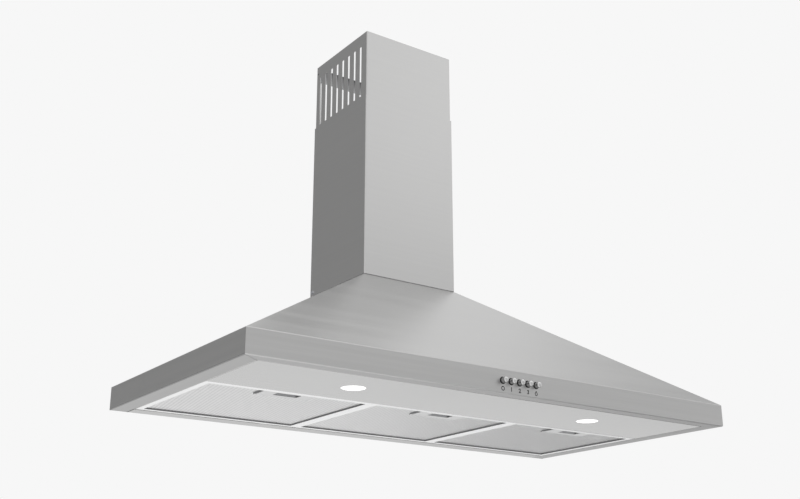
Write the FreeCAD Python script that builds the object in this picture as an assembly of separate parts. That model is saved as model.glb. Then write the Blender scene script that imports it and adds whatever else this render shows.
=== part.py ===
import FreeCAD, Part
import math
import os

# Chimney range hood for a wall.  All sizes are in millimetres.
# +X is to the right for someone who faces the wall, the wall is the plane Y = 0 and the room is at -Y.
# Heights in this file count up from the underside.  The part's own origin is the point of the wall midway
# between the two hook holes, so save() lowers every piece by HOOK_HEIGHT.

# Canopy
HOOD_WIDTH = 900.0
HOOD_DEPTH = 452.0
SKIRT_HEIGHT = 36.0
SLOPE_TOP = 242.2          # height of the sloping sheets where they pass under the chimney's outline
UPSTAND_TOP = 258.0        # top of the collar of the canopy that the chimney slips over
SHEET = 1.0
BEND = 1.0                 # inside radius of every fold
FRONT_FLANGE = 21.0
SIDE_FLANGE = 29.0
REAR_FLANGE = 28.0
HEM = 10.0                 # the upturned inner edge of the flanges
FLANGE_SLIT = 0.5

# Chimney
CHIMNEY_WIDTH = 191.0
CHIMNEY_DEPTH = 178.0
CHIMNEY_FOOT = 243.0
LOWER_CHIMNEY_TOP = 576.0
UPPER_CHIMNEY_TOP = 705.0
UPPER_CHIMNEY_LENGTH = 320.0
CHIMNEY_SHEET = 0.8
CHIMNEY_PLAY = 0.8         # gap between the two covers at the sides and in front
CHIMNEY_BACK_PLAY = 0.3
CHIMNEY_RETURN = 10.0      # folded edge of a cover along the wall
UPSTAND_PLAY = 0.5         # gap between the lower cover and the canopy's upstand
SLOT_COUNT = 8
SLOT_PITCH = 19.8
SLOT_WIDTH = 6.0
SLOT_LENGTH = 100.0
SLOT_REAR = 16.9           # the rearmost slot's middle, in front of the wall
SLOT_BELOW_TOP = 24.4

# Wall fixing
HOOK_HEIGHT = 190.0
HOOK_SPACING = 240.0
HOOK_HOLE = 4.2
SAFETY_HEIGHT = 60.0
SAFETY_SPACING = 600.0
SAFETY_HOLE = 2.75
TOP_FIXING_DROP = 15.0     # the upper cover's wall holes, below its top
TOP_FIXING_HOLE = 2.2
BRACKET_HEIGHT = 28.0
BRACKET_DROP = 1.0         # the bracket's top, below the upper cover's top
BRACKET_SHEET = 1.2
BRACKET_EAR = 10.0         # the bracket's bent ends, along the cover's sides
BRACKET_PLAY = 0.4

# Bottom panel and lamps
PANEL_REAR = 279.2         # rear edge of the panel, in front of the wall
PANEL_SHEET = 0.8
PANEL_PLAY = 0.4
REAR_LIP = 14.0
LAMP_SPACING = 456.0
LAMP_DEPTH = 356.0
LENS_RADIUS = 18.7
LENS_PLAY = 0.3
LENS_THICKNESS = 2.6
LENS_RIM = 3.0
LAMP_CUP_RADIUS = 28.0
LAMP_CUP_WALL = 1.6
LAMP_CUP_TOP = 24.0
LAMP_BOSS = 8.0
LAMP_BOSS_HALF = 4.0
BOARD_THICKNESS = 1.6
BOARD_RADIUS = 24.0
LED_COUNT = 4
LED_RING = 14.4            # radius of the ring of LEDs
LED_HALF = 1.75
LED_HEIGHT = 1.0

# Grease filters
FILTER_COUNT = 3
FILTER_SIDE_PLAY = 1.5     # between the outer filters and the canopy's side hems' line
FILTER_GAP = 1.0           # between neighbouring filters
FILTER_REAR = 31.0         # rear edge of the filters, in front of the wall
FILTER_FRONT_PLAY = 1.2    # between the filters and the bottom panel
FILTER_HEIGHT = 9.0
FRAME_SHEET = 0.8
FRAME_LIP = 9.0
MESH_RECESS = 2.6
MESH_SKIN = 0.8
MESH_WAVE = 0.7            # thickness of the pleated layer
MESH_PITCH = 30.0
MESH_PLAY = 0.2
TAB_WIDTH = 24.0
TAB_REACH = 9.0            # how far a rear tab lies over the rear flange
TAB_SHEET = 1.5
TAB_SPACING = 180.0
LATCH_WIDTH = 86.0
LATCH_REAR = 239.0
LATCH_PLAY = 0.2
POCKET_WIDTH = 40.0
POCKET_LENGTH = 16.0
POCKET_REAR = 250.0
POCKET_CORNER = 2.0
SLIDER_WIDTH = 38.0
SLIDER_LOW = 5.7
SLIDER_SHEET = 1.9
SLIDER_PLAY = 0.3
TONGUE_WIDTH = 16.0
TONGUE_SETBACK = 0.4       # the drawn-back tongue's tip, behind the frame's front face
LATCH_TRAVEL = 4.0
LUG_THICKNESS = 2.5
LUG_LOW = 1.0

# Buttons
BUTTON_NAMES = ("off", "speed_1", "speed_2", "speed_3", "light")
BUTTON_PITCH = 16.0
BUTTON_HEIGHT = 19.0
BUTTON_RADIUS = 4.2
BUTTON_REACH = 9.5
BUTTON_HOLE = 5.1
BUTTON_TRAVEL = 4.0
CAP_WALL = 2.4
STEM_HALF = 2.3
PLUNGER_HALF = 3.1
PLUNGER_LENGTH = 22.0
PLUNGER_PLAY = 0.3
SWITCH_WIDTH = 96.0
SWITCH_DEPTH = 26.0
SWITCH_LOW = 10.8
SWITCH_HEIGHT = 20.0
SWITCH_RECESS = 7.0
SWITCH_WALL = 3.0

# Outlet collar and its two flaps
COLLAR_DEPTH = 89.0        # the collar's axis, in front of the wall
COLLAR_RADIUS = 75.0
COLLAR_WALL = 1.0
COLLAR_TOP = 290.0
COLLAR_FOOT = 2.0
COLLAR_SEAT = 0.3
COLLAR_TRAY_TOP = 256.0
FLAP_HEIGHT = 262.0
FLAP_PLAY = 1.5
FLAP_SHEET = 1.2
FLAP_AXIS = 3.5            # distance of each flap's pivot from the collar's middle
FLAP_BARREL = 2.2
FLAP_PIN = 1.5
PIN_SIDES = 8
PIN_PLAY = 0.1
STOP_WIDTH = 12.0
STOP_INSET = 4.5           # from the collar's bore to the inner face of a stop
STOP_ROOT = 3.0            # how far a stop's foot reaches into the tray's floor
STOP_TURNS = (0, 180)      # degrees round the collar, counted from the wall side
SEAT_GAP = 0.3             # clearance left under pieces that rest on others

# Blower
BLOWER_WIDTH = 100.0
BLOWER_SHEET = 1.0
OUTLET_DEPTH = 100.0       # the outlet's size from front to back
SCROLL_START = 86.0        # radius of the casing's first quarter turn
SCROLL_STEP = 8.0          # growth of the radius at each quarter turn
SCROLL_CENTRE_HEIGHT = 126.0
TONGUE_RADIUS = 10.0
SCROLL_RIM = 4.0
SCROLL_CHORDS = 8          # straight edges for each quarter turn of the casing's side plates
OUTLET_FLANGE = 11.0
INLET_RADIUS = 60.0
IMPELLER_RADIUS = 76.0
BLADE_INNER = 62.0
BLADE_COUNT = 20
BLADE_SHEET = 1.2
BLADE_BOW = 1.6            # how far round, in degrees, a blade has swept at half its depth
BLADE_SWEEP = 8.0          # and at its outer edge
IMPELLER_WIDTH = 90.0
RING_WIDTH = 4.0
DISC_SHEET = 2.0
HUB_RADIUS = 13.0
HUB_LENGTH = 14.0
SHAFT_RADIUS = 4.0
SHAFT_PLAY = 0.05
MOTOR_RADIUS = 42.0
MOTOR_START = 9.0
MOTOR_LENGTH = 58.0
MOTOR_NOSE = 3.0
MOTOR_NOSE_RADIUS = 11.0
MOTOR_BELL = 8.0
MOTOR_BELL_STEP = 5.0
MOUNT_SHEET = 2.0
MOUNT_ARM = 14.0
MOUNT_REACH = 80.0
MOUNT_RING_INSET = 4.0     # the mount's ring and its bore, inside the motor's outline
MOUNT_BORE_INSET = 22.0
MOUNT_ARM_INSET = 8.0
MOUNT_TURNS = (30, 150, 270)
NUT_SIZE = 13.0
NUT_HEIGHT = 6.5

# Electrics inside the canopy
ELECTRICS_SETBACK = 57.0   # front of the two boxes, behind the canopy's front
TERMINAL_BOX_LEFT = 60.0
TERMINAL_BOX_SIZE = (80.0, 65.0, 28.0)
DRIVER_BOX_LEFT = -62.0
DRIVER_BOX_SIZE = (100.0, 50.0, 21.0)
BOX_CORNER = 3.0
RIB_HALF = 1.0
RIB_INSET = 5.0
TERMINAL_BOX_RIBS = 3
DRIVER_BOX_RIBS = 4
CAPACITOR_SIDE = 170.0
CAPACITOR_SETBACK = 54.0
CAPACITOR_RADIUS = 16.0
CAPACITOR_HEIGHT = 38.0
BLADE_TERMINAL_SPREAD = 5.0
BLADE_TERMINAL_HALF = 2.5
BLADE_TERMINAL_SHEET = 0.8
BLADE_TERMINAL_LENGTH = 7.0
GLAND_AT = (-76.0, -158.0)
GLAND_BORE = 4.0
GLAND_BODY = 8.0
GLAND_FLANGE = 11.0
GLAND_LENGTH = 22.0
GLAND_DROP = 7.0           # how far the gland's body stands out under the tray
GLAND_HEAD = 6.0
LAMP_LEAD = 2.5
POWER_LEAD = 3.0
LEAD_SIDES = 5
LEAD_BEND = 8.0            # the largest bend, in radii of the lead

# Runs of the leads between their bends
LEFT_LEAD_OUT = 26.0
LEFT_LEAD_DOWN = 62.0
LEFT_LEAD_ASIDE = 9.0
LEFT_LEAD_IN = 28.0
RIGHT_LEAD_OUT = 20.0
RIGHT_LEAD_DOWN = 54.0
RIGHT_LEAD_BEHIND = 13.0
RIGHT_LEAD_PAST = 24.0
RIGHT_LEAD_LIFT = 2.0
RIGHT_LEAD_IN = 16.0
SWITCH_LEAD_OUT = 22.0
SWITCH_LEAD_ACROSS = 47.0
SWITCH_LEAD_BACK = 18.0
MOTOR_LEAD_HEIGHT = 17.0
MOTOR_LEAD_OUT = 38.0
MOTOR_LEAD_ASIDE = 4.0
MOTOR_LEAD_CLIMB = (-88.0, 84.0)       # from the fan's axis in Y, and above the underside
MOTOR_LEAD_CREST = (-26.0, -14.0)      # from the fan's axis in Y and in Z
MOTOR_LEAD_END = (-10.0, -8.0)
MOTOR_LEAD_IN = 16.0
DRIVER_LEAD_HEIGHT = 10.0

# Sides of the small and the hidden round pieces
ROUND_SIDES = 24
LENS_SIDES = 40
BORE_SIDES = 16
BUTTON_SIDES = 16

# Screws
SCREW_RADIUS = 1.9
SCREW_HOLE = 2.2
SCREW_HEAD = 3.6
SCREW_HEAD_HEIGHT = 2.0
SCREW_SIDES = 8
CHIMNEY_SCREW_HEIGHT = 250.0
CHIMNEY_SCREW_DEPTH = 8.0

# Worked out from the sizes above
HALF = HOOD_WIDTH / 2
CHIMNEY_HALF = CHIMNEY_WIDTH / 2
UPSTAND_SETBACK = CHIMNEY_SHEET + UPSTAND_PLAY
UPSTAND_HALF = CHIMNEY_HALF - UPSTAND_SETBACK
UPSTAND_FRONT = CHIMNEY_DEPTH - UPSTAND_SETBACK
SIDE_RISE = (SLOPE_TOP - SKIRT_HEIGHT) / (HALF - CHIMNEY_HALF)
FRONT_RISE = (SLOPE_TOP - SKIRT_HEIGHT) / (HOOD_DEPTH - CHIMNEY_DEPTH)
SIDE_SLOPE_END = SLOPE_TOP + UPSTAND_SETBACK * SIDE_RISE
FRONT_SLOPE_END = SLOPE_TOP + UPSTAND_SETBACK * FRONT_RISE
OPENING_HALF = HALF - SIDE_FLANGE
OPENING_FRONT = HOOD_DEPTH - FRONT_FLANGE
FILTER_WIDTH = (2 * (OPENING_HALF - FILTER_SIDE_PLAY) - (FILTER_COUNT - 1) * FILTER_GAP) / FILTER_COUNT
FILTER_PITCH = FILTER_WIDTH + FILTER_GAP
FILTER_FRONT = PANEL_REAR - FILTER_FRONT_PLAY
COLLAR_TRAY_LOW = CHIMNEY_FOOT
COLLAR_BORE = COLLAR_RADIUS - COLLAR_WALL
WHEEL_RIM = IMPELLER_RADIUS + BLADE_SHEET
OUTLET_TOP = COLLAR_TRAY_LOW - SEAT_GAP
BLOWER_HALF = BLOWER_WIDTH / 2
OUTLET_FRONT = -COLLAR_DEPTH - OUTLET_DEPTH / 2
OUTLET_REAR = -COLLAR_DEPTH + OUTLET_DEPTH / 2
# centres of the casing's three quarter turns, stepped round a square
TURN_1 = (OUTLET_FRONT - TONGUE_RADIUS, SCROLL_CENTRE_HEIGHT)
TURN_2 = (TURN_1[0] + SCROLL_STEP, TURN_1[1])
TURN_3 = (TURN_2[0], TURN_2[1] + SCROLL_STEP)
FAN_Y = (TURN_1[0] + TURN_2[0]) / 2
FAN_Z = (TURN_2[1] + TURN_3[1]) / 2
ELECTRICS_FRONT = ELECTRICS_SETBACK - HOOD_DEPTH
TERMINAL_BOX = (TERMINAL_BOX_LEFT, TERMINAL_BOX_LEFT + TERMINAL_BOX_SIZE[0], ELECTRICS_FRONT,
                ELECTRICS_FRONT + TERMINAL_BOX_SIZE[1], TERMINAL_BOX_SIZE[2])
DRIVER_BOX = (DRIVER_BOX_LEFT, DRIVER_BOX_LEFT + DRIVER_BOX_SIZE[0], ELECTRICS_FRONT,
              ELECTRICS_FRONT + DRIVER_BOX_SIZE[1], DRIVER_BOX_SIZE[2])
CAPACITOR = (CAPACITOR_SIDE, CAPACITOR_SETBACK - HOOD_DEPTH)


def V(x, y, z):
    return FreeCAD.Vector(x, y, z)


X_AXIS = V(1, 0, 0)
Y_AXIS = V(0, 1, 0)
Z_AXIS = V(0, 0, 1)


def box(x0, x1, y0, y1, z0, z1):
    """A block between two corners."""
    return Part.makeBox(x1 - x0, y1 - y0, z1 - z0, V(x0, y0, z0))


def rod(radius, start, end):
    """A round bar from one point to another."""
    return Part.makeCylinder(radius, (end - start).Length, start, end - start)


def faceted_rod(radius, sides, start, end):
    """A straight bar with a regular polygon for its section, `radius` from its axis to each corner."""
    along = end - start
    across = along.cross(X_AXIS if abs(along.x) < along.Length / 2 else Y_AXIS).normalize()
    corners = []
    for number in range(sides):
        turned = FreeCAD.Rotation(along, (number + 0.5) * 360.0 / sides).multVec(across)
        corners.append(start + turned * radius)
    return prism(corners, along)


def prism(points, along):
    """A flat outline through the points, extruded along a vector."""
    return Part.Face(Part.makePolygon(points + points[:1])).extrude(along)


def core(flats, sides, start, end):
    """What a many-sided bore leaves empty: its flat walls lie `flats` from its axis."""
    return faceted_rod(flats / math.cos(math.pi / sides), sides, start, end)


def mirrored(shape):
    """The shape's twin on the other side of the hood's middle plane."""
    return shape.mirror(V(0, 0, 0), X_AXIS)


def joined(shapes):
    """One solid from several that touch or overlap, with flush faces merged."""
    return shapes[0].fuse(shapes[1:]).removeSplitter()


def rounded_path(points, radii):
    """Straight runs and tangent arcs along the points, one radius for each inner point."""
    edges = []
    start = points[0]
    for before, corner, after, radius in zip(points, points[1:], points[2:], radii):
        run_in = (corner - before).normalize()
        run_out = (after - corner).normalize()
        half_turn = run_in.getAngle(run_out) / 2
        inward = (run_out - run_in).normalize()
        first = corner - run_in * (radius * math.tan(half_turn))
        last = corner + run_out * (radius * math.tan(half_turn))
        middle = corner + inward * (radius / math.cos(half_turn) - radius)
        edges.append(Part.LineSegment(start, first).toShape())
        edges.append(Part.Arc(first, middle, last).toShape())
        start = last
    edges.append(Part.LineSegment(start, points[-1]).toShape())
    return edges


def bent_sheet(points, along, thickness):
    """A folded sheet: its face line goes through the points and the metal lies to the left of that line
    for an eye that `along` points to.  `along` is also the way and the length that the section is extruded."""
    axis = V(*along).normalize()
    runs = [(b - a).normalize() for a, b in zip(points, points[1:])]
    sides = [axis.cross(run) for run in runs]
    inner = [points[0] + sides[0] * thickness]
    face_radii = []
    inner_radii = []
    for corner, run, side, next_side in zip(points[1:], runs, sides, sides[1:]):
        inner.append(corner + (side + next_side) * (thickness / (1 + side.dot(next_side))))
        turns_left = run.dot(next_side) < 0
        face_radii.append(BEND + thickness if turns_left else BEND)
        inner_radii.append(BEND if turns_left else BEND + thickness)
    inner.append(points[-1] + sides[-1] * thickness)
    edges = rounded_path(points, face_radii)
    edges.append(Part.LineSegment(points[-1], inner[-1]).toShape())
    edges += rounded_path(inner[::-1], inner_radii[::-1])
    edges.append(Part.LineSegment(inner[0], points[0]).toShape())
    return Part.Face(Part.Wire(edges)).extrude(along)


def lead(points, radius):
    """A five-sided insulated lead: straight runs joined by tangent arcs, as large as the runs allow."""
    radii = []
    for before, corner, after in zip(points, points[1:], points[2:]):
        shorter = min((corner - before).Length, (after - corner).Length)
        half_turn = (corner - before).getAngle(after - corner) / 2
        radii.append(min(LEAD_BEND * radius, 0.45 * shorter / math.tan(half_turn)))
    path = Part.Wire(rounded_path(points, radii))
    foot = faceted_rod(radius, LEAD_SIDES, points[0], points[1])
    section = min(foot.Faces, key=lambda face: face.CenterOfMass.distanceToPoint(points[0])).OuterWire
    return path.makePipeShell([section], True, False)


def screw(point, into):
    """A screw whose head rests on `point`; `into` is the way and length of its shank."""
    out = V(*into).normalize() * SCREW_HEAD_HEIGHT
    return joined([faceted_rod(SCREW_RADIUS, SCREW_SIDES, point, point + into),
                   faceted_rod(SCREW_HEAD, SCREW_SIDES, point, point + out * -1)])


def screw_hole(start, end):
    """The clearance for a screw's shank, to cut from the sheets it goes through."""
    return faceted_rod(SCREW_HOLE, SCREW_SIDES, start, end)


def save(name, shape):
    """Writes one piece, or one group of equal pieces, lowered to the part's own origin."""
    placed = shape.copy()
    placed.translate(V(0, 0, -HOOK_HEIGHT))
    placed.exportStep("parts/" + name + ".step")


# ---------------------------------------------------------------- canopy

def mitre_line():
    """Plan points of the cut between the front sheet and the side sheets: corner and meeting point."""
    hip = (HOOD_DEPTH - CHIMNEY_DEPTH) / (HALF - CHIMNEY_HALF)
    return V(-HALF, -HOOD_DEPTH, 0), V(0, -HOOD_DEPTH + HALF * hip, 0)


def flange_slits():
    """The narrow slits at the mitred corners of the return flange."""
    corner, meeting = mitre_line()
    run = (meeting - corner).normalize()
    side = Z_AXIS.cross(run) * (FLANGE_SLIT / 2)
    first = corner + run * SHEET * 3
    last = corner + run * (SIDE_FLANGE * 2)
    slit = prism([first + side, first - side, last - side, last + side], V(0, 0, HEM + SHEET))
    return slit.fuse(mirrored(slit))


def canopy_front_sheet():
    """Front slope, front skirt, front return flange and its hem, folded from one sheet and mitred."""
    profile = [V(-HALF, -UPSTAND_FRONT, UPSTAND_TOP), V(-HALF, -UPSTAND_FRONT, FRONT_SLOPE_END),
               V(-HALF, -HOOD_DEPTH, SKIRT_HEIGHT), V(-HALF, -HOOD_DEPTH, 0),
               V(-HALF, -OPENING_FRONT, 0), V(-HALF, -OPENING_FRONT, HEM)]
    folded = bent_sheet(profile, V(HOOD_WIDTH, 0, 0), SHEET)
    corner, meeting = mitre_line()
    sector = prism([corner, V(HALF, -HOOD_DEPTH, 0), meeting], V(0, 0, UPSTAND_TOP))
    shape = folded.common(sector).cut(flange_slits())
    for x in button_places():
        shape = shape.cut(faceted_rod(BUTTON_HOLE, BUTTON_SIDES, V(x, -HOOD_DEPTH - SHEET, BUTTON_HEIGHT),
                                      V(x, -HOOD_DEPTH + 3 * SHEET, BUTTON_HEIGHT)))
    return shape


def canopy_left_sheet():
    """Left slope, left skirt, left return flange and its hem, mitred against the front sheet."""
    profile = [V(-UPSTAND_HALF, -SHEET, UPSTAND_TOP), V(-UPSTAND_HALF, -SHEET, SIDE_SLOPE_END),
               V(-HALF, -SHEET, SKIRT_HEIGHT), V(-HALF, -SHEET, 0),
               V(-OPENING_HALF, -SHEET, 0), V(-OPENING_HALF, -SHEET, HEM)]
    folded = bent_sheet(profile, V(0, SHEET - HOOD_DEPTH, 0), SHEET)
    corner, meeting = mitre_line()
    sector = prism([corner, meeting, V(0, 0, 0), V(-HALF, 0, 0)], V(0, 0, UPSTAND_TOP))
    rear_notch = box(-OPENING_HALF - SHEET - BEND, -OPENING_HALF, -REAR_FLANGE, 0, SHEET, HEM)
    return folded.common(sector).cut(flange_slits()).cut(rear_notch).cut(chimney_screw_holes())


def canopy_back_sheet():
    """Flat back against the wall with the hook and safety holes, the flange that the filters hang on, and
    a tongue that stands up between the chimney's two returns."""
    tongue_half = CHIMNEY_HALF - CHIMNEY_RETURN - UPSTAND_PLAY
    right = [V(HALF, 0, 0), V(HALF, 0, SKIRT_HEIGHT), V(UPSTAND_HALF, 0, SIDE_SLOPE_END),
             V(tongue_half, 0, SIDE_SLOPE_END), V(tongue_half, 0, UPSTAND_TOP)]
    outline = right + [V(-point.x, 0, point.z) for point in right[::-1]]
    flange_half = OPENING_HALF - PANEL_PLAY
    shape = joined([prism(outline, V(0, -SHEET, 0)),
                    box(-flange_half, flange_half, -REAR_FLANGE, 0, 0, SHEET)])
    for spacing, height, radius in ((HOOK_SPACING, HOOK_HEIGHT, HOOK_HOLE),
                                    (SAFETY_SPACING, SAFETY_HEIGHT, SAFETY_HOLE)):
        for side in (-1, 1):
            at = V(side * spacing / 2, 0, height)
            shape = shape.cut(rod(radius, at + Y_AXIS, at - Y_AXIS * (2 * SHEET)))
    return shape


# ---------------------------------------------------------------- chimney

def chimney_cover(half, front, back, low, high):
    """A folded cover, open towards the wall, with a narrow return along each rear edge."""
    rear_edge = half - CHIMNEY_RETURN
    profile = [V(-rear_edge, -back, low), V(-half, -back, low), V(-half, -front, low),
               V(half, -front, low), V(half, -back, low), V(rear_edge, -back, low)]
    return bent_sheet(profile, V(0, 0, high - low), CHIMNEY_SHEET)


def chimney_screw_holes():
    """One straight hole through both sides of the chimney's foot, for its two screws."""
    return screw_hole(V(-HALF, -CHIMNEY_SCREW_DEPTH, CHIMNEY_SCREW_HEIGHT),
                      V(HALF, -CHIMNEY_SCREW_DEPTH, CHIMNEY_SCREW_HEIGHT))


def lower_chimney():
    cover = chimney_cover(CHIMNEY_HALF, CHIMNEY_DEPTH, 0, CHIMNEY_FOOT, LOWER_CHIMNEY_TOP)
    return cover.cut(chimney_screw_holes())


def upper_chimney():
    """The telescopic cover, with a row of upright slots in each side and two wall holes at the back."""
    inset = CHIMNEY_SHEET + CHIMNEY_PLAY
    half = CHIMNEY_HALF - inset
    back = CHIMNEY_SHEET + CHIMNEY_BACK_PLAY
    cover = chimney_cover(half, CHIMNEY_DEPTH - inset, back,
                          UPPER_CHIMNEY_TOP - UPPER_CHIMNEY_LENGTH, UPPER_CHIMNEY_TOP)
    slot_top = UPPER_CHIMNEY_TOP - SLOT_BELOW_TOP
    for number in range(SLOT_COUNT):
        middle = -SLOT_REAR - number * SLOT_PITCH
        cover = cover.cut(box(-CHIMNEY_WIDTH, CHIMNEY_WIDTH, middle - SLOT_WIDTH / 2, middle + SLOT_WIDTH / 2,
                              slot_top - SLOT_LENGTH, slot_top))
    for x, z in top_fixing_places():
        cover = cover.cut(rod(TOP_FIXING_HOLE, V(x, 0, z), V(x, -3 * back, z)))
    return cover


def chimney_bracket():
    """The strip across the upper cover's open back, with two bent ears, that the top wall screws go through."""
    half = CHIMNEY_HALF - 2 * CHIMNEY_SHEET - CHIMNEY_PLAY - BRACKET_PLAY
    rear = -2 * CHIMNEY_SHEET - CHIMNEY_BACK_PLAY - BRACKET_PLAY
    high = UPPER_CHIMNEY_TOP - BRACKET_DROP
    low = high - BRACKET_HEIGHT
    strip = box(-half, half, rear - BRACKET_SHEET, rear, low, high)
    ears = [box(min(x, x - side * BRACKET_SHEET), max(x, x - side * BRACKET_SHEET), rear - BRACKET_EAR, rear,
                low, high) for side, x in ((-1, -half), (1, half))]
    shape = joined([strip] + ears)
    for x, z in top_fixing_places():
        shape = shape.cut(screw_hole(V(x, rear + SHEET, z), V(x, rear - 2 * BRACKET_SHEET, z)))
    return shape


def top_fixing_places():
    x = CHIMNEY_HALF - CHIMNEY_SHEET - CHIMNEY_PLAY - CHIMNEY_RETURN / 2
    return [(side * x, UPPER_CHIMNEY_TOP - TOP_FIXING_DROP) for side in (-1, 1)]


def chimney_screws():
    """The two screws that hold the chimney's foot to the canopy."""
    at = V(-CHIMNEY_HALF, -CHIMNEY_SCREW_DEPTH, CHIMNEY_SCREW_HEIGHT)
    left = screw(at, X_AXIS * SCREW_HEAD * 2)
    return Part.makeCompound([left, mirrored(left)])


# ---------------------------------------------------------------- bottom panel and lamps

def bottom_panel():
    """The strip in front of the filters: a tray with lamp holes and a rear lip with latch windows."""
    half = OPENING_HALF - PANEL_PLAY
    front = -OPENING_FRONT + PANEL_PLAY
    inner_half = half - PANEL_SHEET
    tray = box(-half, half, front, -PANEL_REAR, 0, REAR_LIP)
    bottom_edges = [edge for edge in tray.Edges if edge.BoundBox.ZMax < PANEL_SHEET]
    tray = tray.makeFillet(BEND, bottom_edges)
    tray = tray.cut(box(-inner_half, inner_half, front + PANEL_SHEET, -PANEL_REAR - PANEL_SHEET,
                        PANEL_SHEET, REAR_LIP))
    tray = tray.cut(box(-HALF, HALF, -HOOD_DEPTH, -PANEL_REAR - PANEL_SHEET, HEM, REAR_LIP))
    for x in lamp_places():
        tray = tray.cut(rod(LENS_RADIUS + LENS_PLAY, V(x, -LAMP_DEPTH, -SHEET), V(x, -LAMP_DEPTH, SHEET)))
    window_half = TONGUE_WIDTH / 2 + 4 * SLIDER_PLAY
    window_low = SLIDER_LOW - 4 * SLIDER_PLAY
    window_high = SLIDER_LOW + SLIDER_SHEET + 4 * SLIDER_PLAY
    for x in filter_places():
        tray = tray.cut(box(x - window_half, x + window_half, -PANEL_REAR - 2 * SHEET,
                            -PANEL_REAR + SHEET, window_low, window_high))
    return tray


def lamp_places():
    return (-LAMP_SPACING / 2, LAMP_SPACING / 2)


def lamp_lens(x):
    """A flat lens flush with the panel, with a many-sided rim that rests on the panel's upper face."""
    rim_low = PANEL_SHEET + SEAT_GAP
    middle = [V(x, -LAMP_DEPTH, z) for z in (0, rim_low, LENS_THICKNESS)]
    return joined([faceted_rod(LENS_RADIUS, LENS_SIDES, middle[0], middle[1] + Z_AXIS * SEAT_GAP),
                   faceted_rod(LENS_RADIUS + LENS_RIM, ROUND_SIDES, middle[1], middle[2])])


def lamp_housing(x, towards_middle):
    """The many-sided cup over a lens: it stands on the panel, closed at the top, with a boss for the lead."""
    low = PANEL_SHEET + SEAT_GAP
    inner = LAMP_CUP_RADIUS - LAMP_CUP_WALL
    outside = faceted_rod(LAMP_CUP_RADIUS, ROUND_SIDES, V(x, -LAMP_DEPTH, low),
                          V(x, -LAMP_DEPTH, LAMP_CUP_TOP))
    inside = faceted_rod(inner, ROUND_SIDES, V(x, -LAMP_DEPTH, low - SHEET),
                         V(x, -LAMP_DEPTH, LAMP_CUP_TOP - LAMP_CUP_WALL))
    start = x + towards_middle * (inner + LAMP_CUP_WALL / 4)
    end = x + towards_middle * lamp_boss_reach()
    boss = box(min(start, end), max(start, end), -LAMP_DEPTH - LAMP_BOSS_HALF, -LAMP_DEPTH + LAMP_BOSS_HALF,
               lamp_lead_height() - LAMP_BOSS_HALF, lamp_lead_height() + LAMP_BOSS_HALF)
    return joined([outside.cut(inside), boss])


def lamp_lead_height():
    return LAMP_CUP_TOP / 2


def lamp_boss_reach():
    return LAMP_CUP_RADIUS + LAMP_BOSS


def lamp_board(x):
    """The round LED board under the housing's top, with a ring of LEDs on its lower face."""
    top = LAMP_CUP_TOP - LAMP_CUP_WALL - SEAT_GAP
    low = top - BOARD_THICKNESS
    pieces = [faceted_rod(BOARD_RADIUS, ROUND_SIDES, V(x, -LAMP_DEPTH, low), V(x, -LAMP_DEPTH, top))]
    for number in range(LED_COUNT):
        turn = 2 * math.pi * number / LED_COUNT
        cx = x + LED_RING * math.cos(turn)
        cy = -LAMP_DEPTH + LED_RING * math.sin(turn)
        pieces.append(box(cx - LED_HALF, cx + LED_HALF, cy - LED_HALF, cy + LED_HALF, low - LED_HEIGHT,
                          low + BOARD_THICKNESS / 2))
    return joined(pieces)


# ---------------------------------------------------------------- grease filters

def filter_places():
    return [(number - (FILTER_COUNT - 1) / 2) * FILTER_PITCH for number in range(FILTER_COUNT)]


LATCH_HIGH = FILTER_HEIGHT - FRAME_SHEET - MESH_PLAY


def filter_frame(x):
    """A channel bent round the mesh pack, with two rear tabs and a window for the latch's tongue."""
    half = FILTER_WIDTH / 2
    shell = box(x - half, x + half, -FILTER_FRONT, -FILTER_REAR, 0, FILTER_HEIGHT)
    low_edges = [edge for edge in shell.Edges if edge.BoundBox.ZMax < SHEET]
    shell = shell.makeFillet(FRAME_SHEET, low_edges)
    web = FRAME_SHEET
    shell = shell.cut(box(x - half + web, x + half - web, -FILTER_FRONT + web, -FILTER_REAR - web,
                          FRAME_SHEET, FILTER_HEIGHT - FRAME_SHEET))
    shell = shell.cut(box(x - half + FRAME_LIP, x + half - FRAME_LIP, -FILTER_FRONT + FRAME_LIP,
                          -FILTER_REAR - FRAME_LIP, -SHEET, FILTER_HEIGHT + SHEET))
    play = SLIDER_PLAY
    window = box(x - TONGUE_WIDTH / 2 - play, x + TONGUE_WIDTH / 2 + play, -FILTER_FRONT - SHEET,
                 -FILTER_FRONT + 2 * SHEET, SLIDER_LOW - play, SLIDER_LOW + SLIDER_SHEET + play)
    pieces = [shell.cut(window)]
    tab_low = SHEET + SEAT_GAP
    for side in (-1, 1):
        middle = x + side * TAB_SPACING / 2
        pieces.append(box(middle - TAB_WIDTH / 2, middle + TAB_WIDTH / 2, -FILTER_REAR - web / 2,
                          -REAR_FLANGE + TAB_REACH, tab_low, tab_low + TAB_SHEET))
    return joined(pieces)


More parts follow.
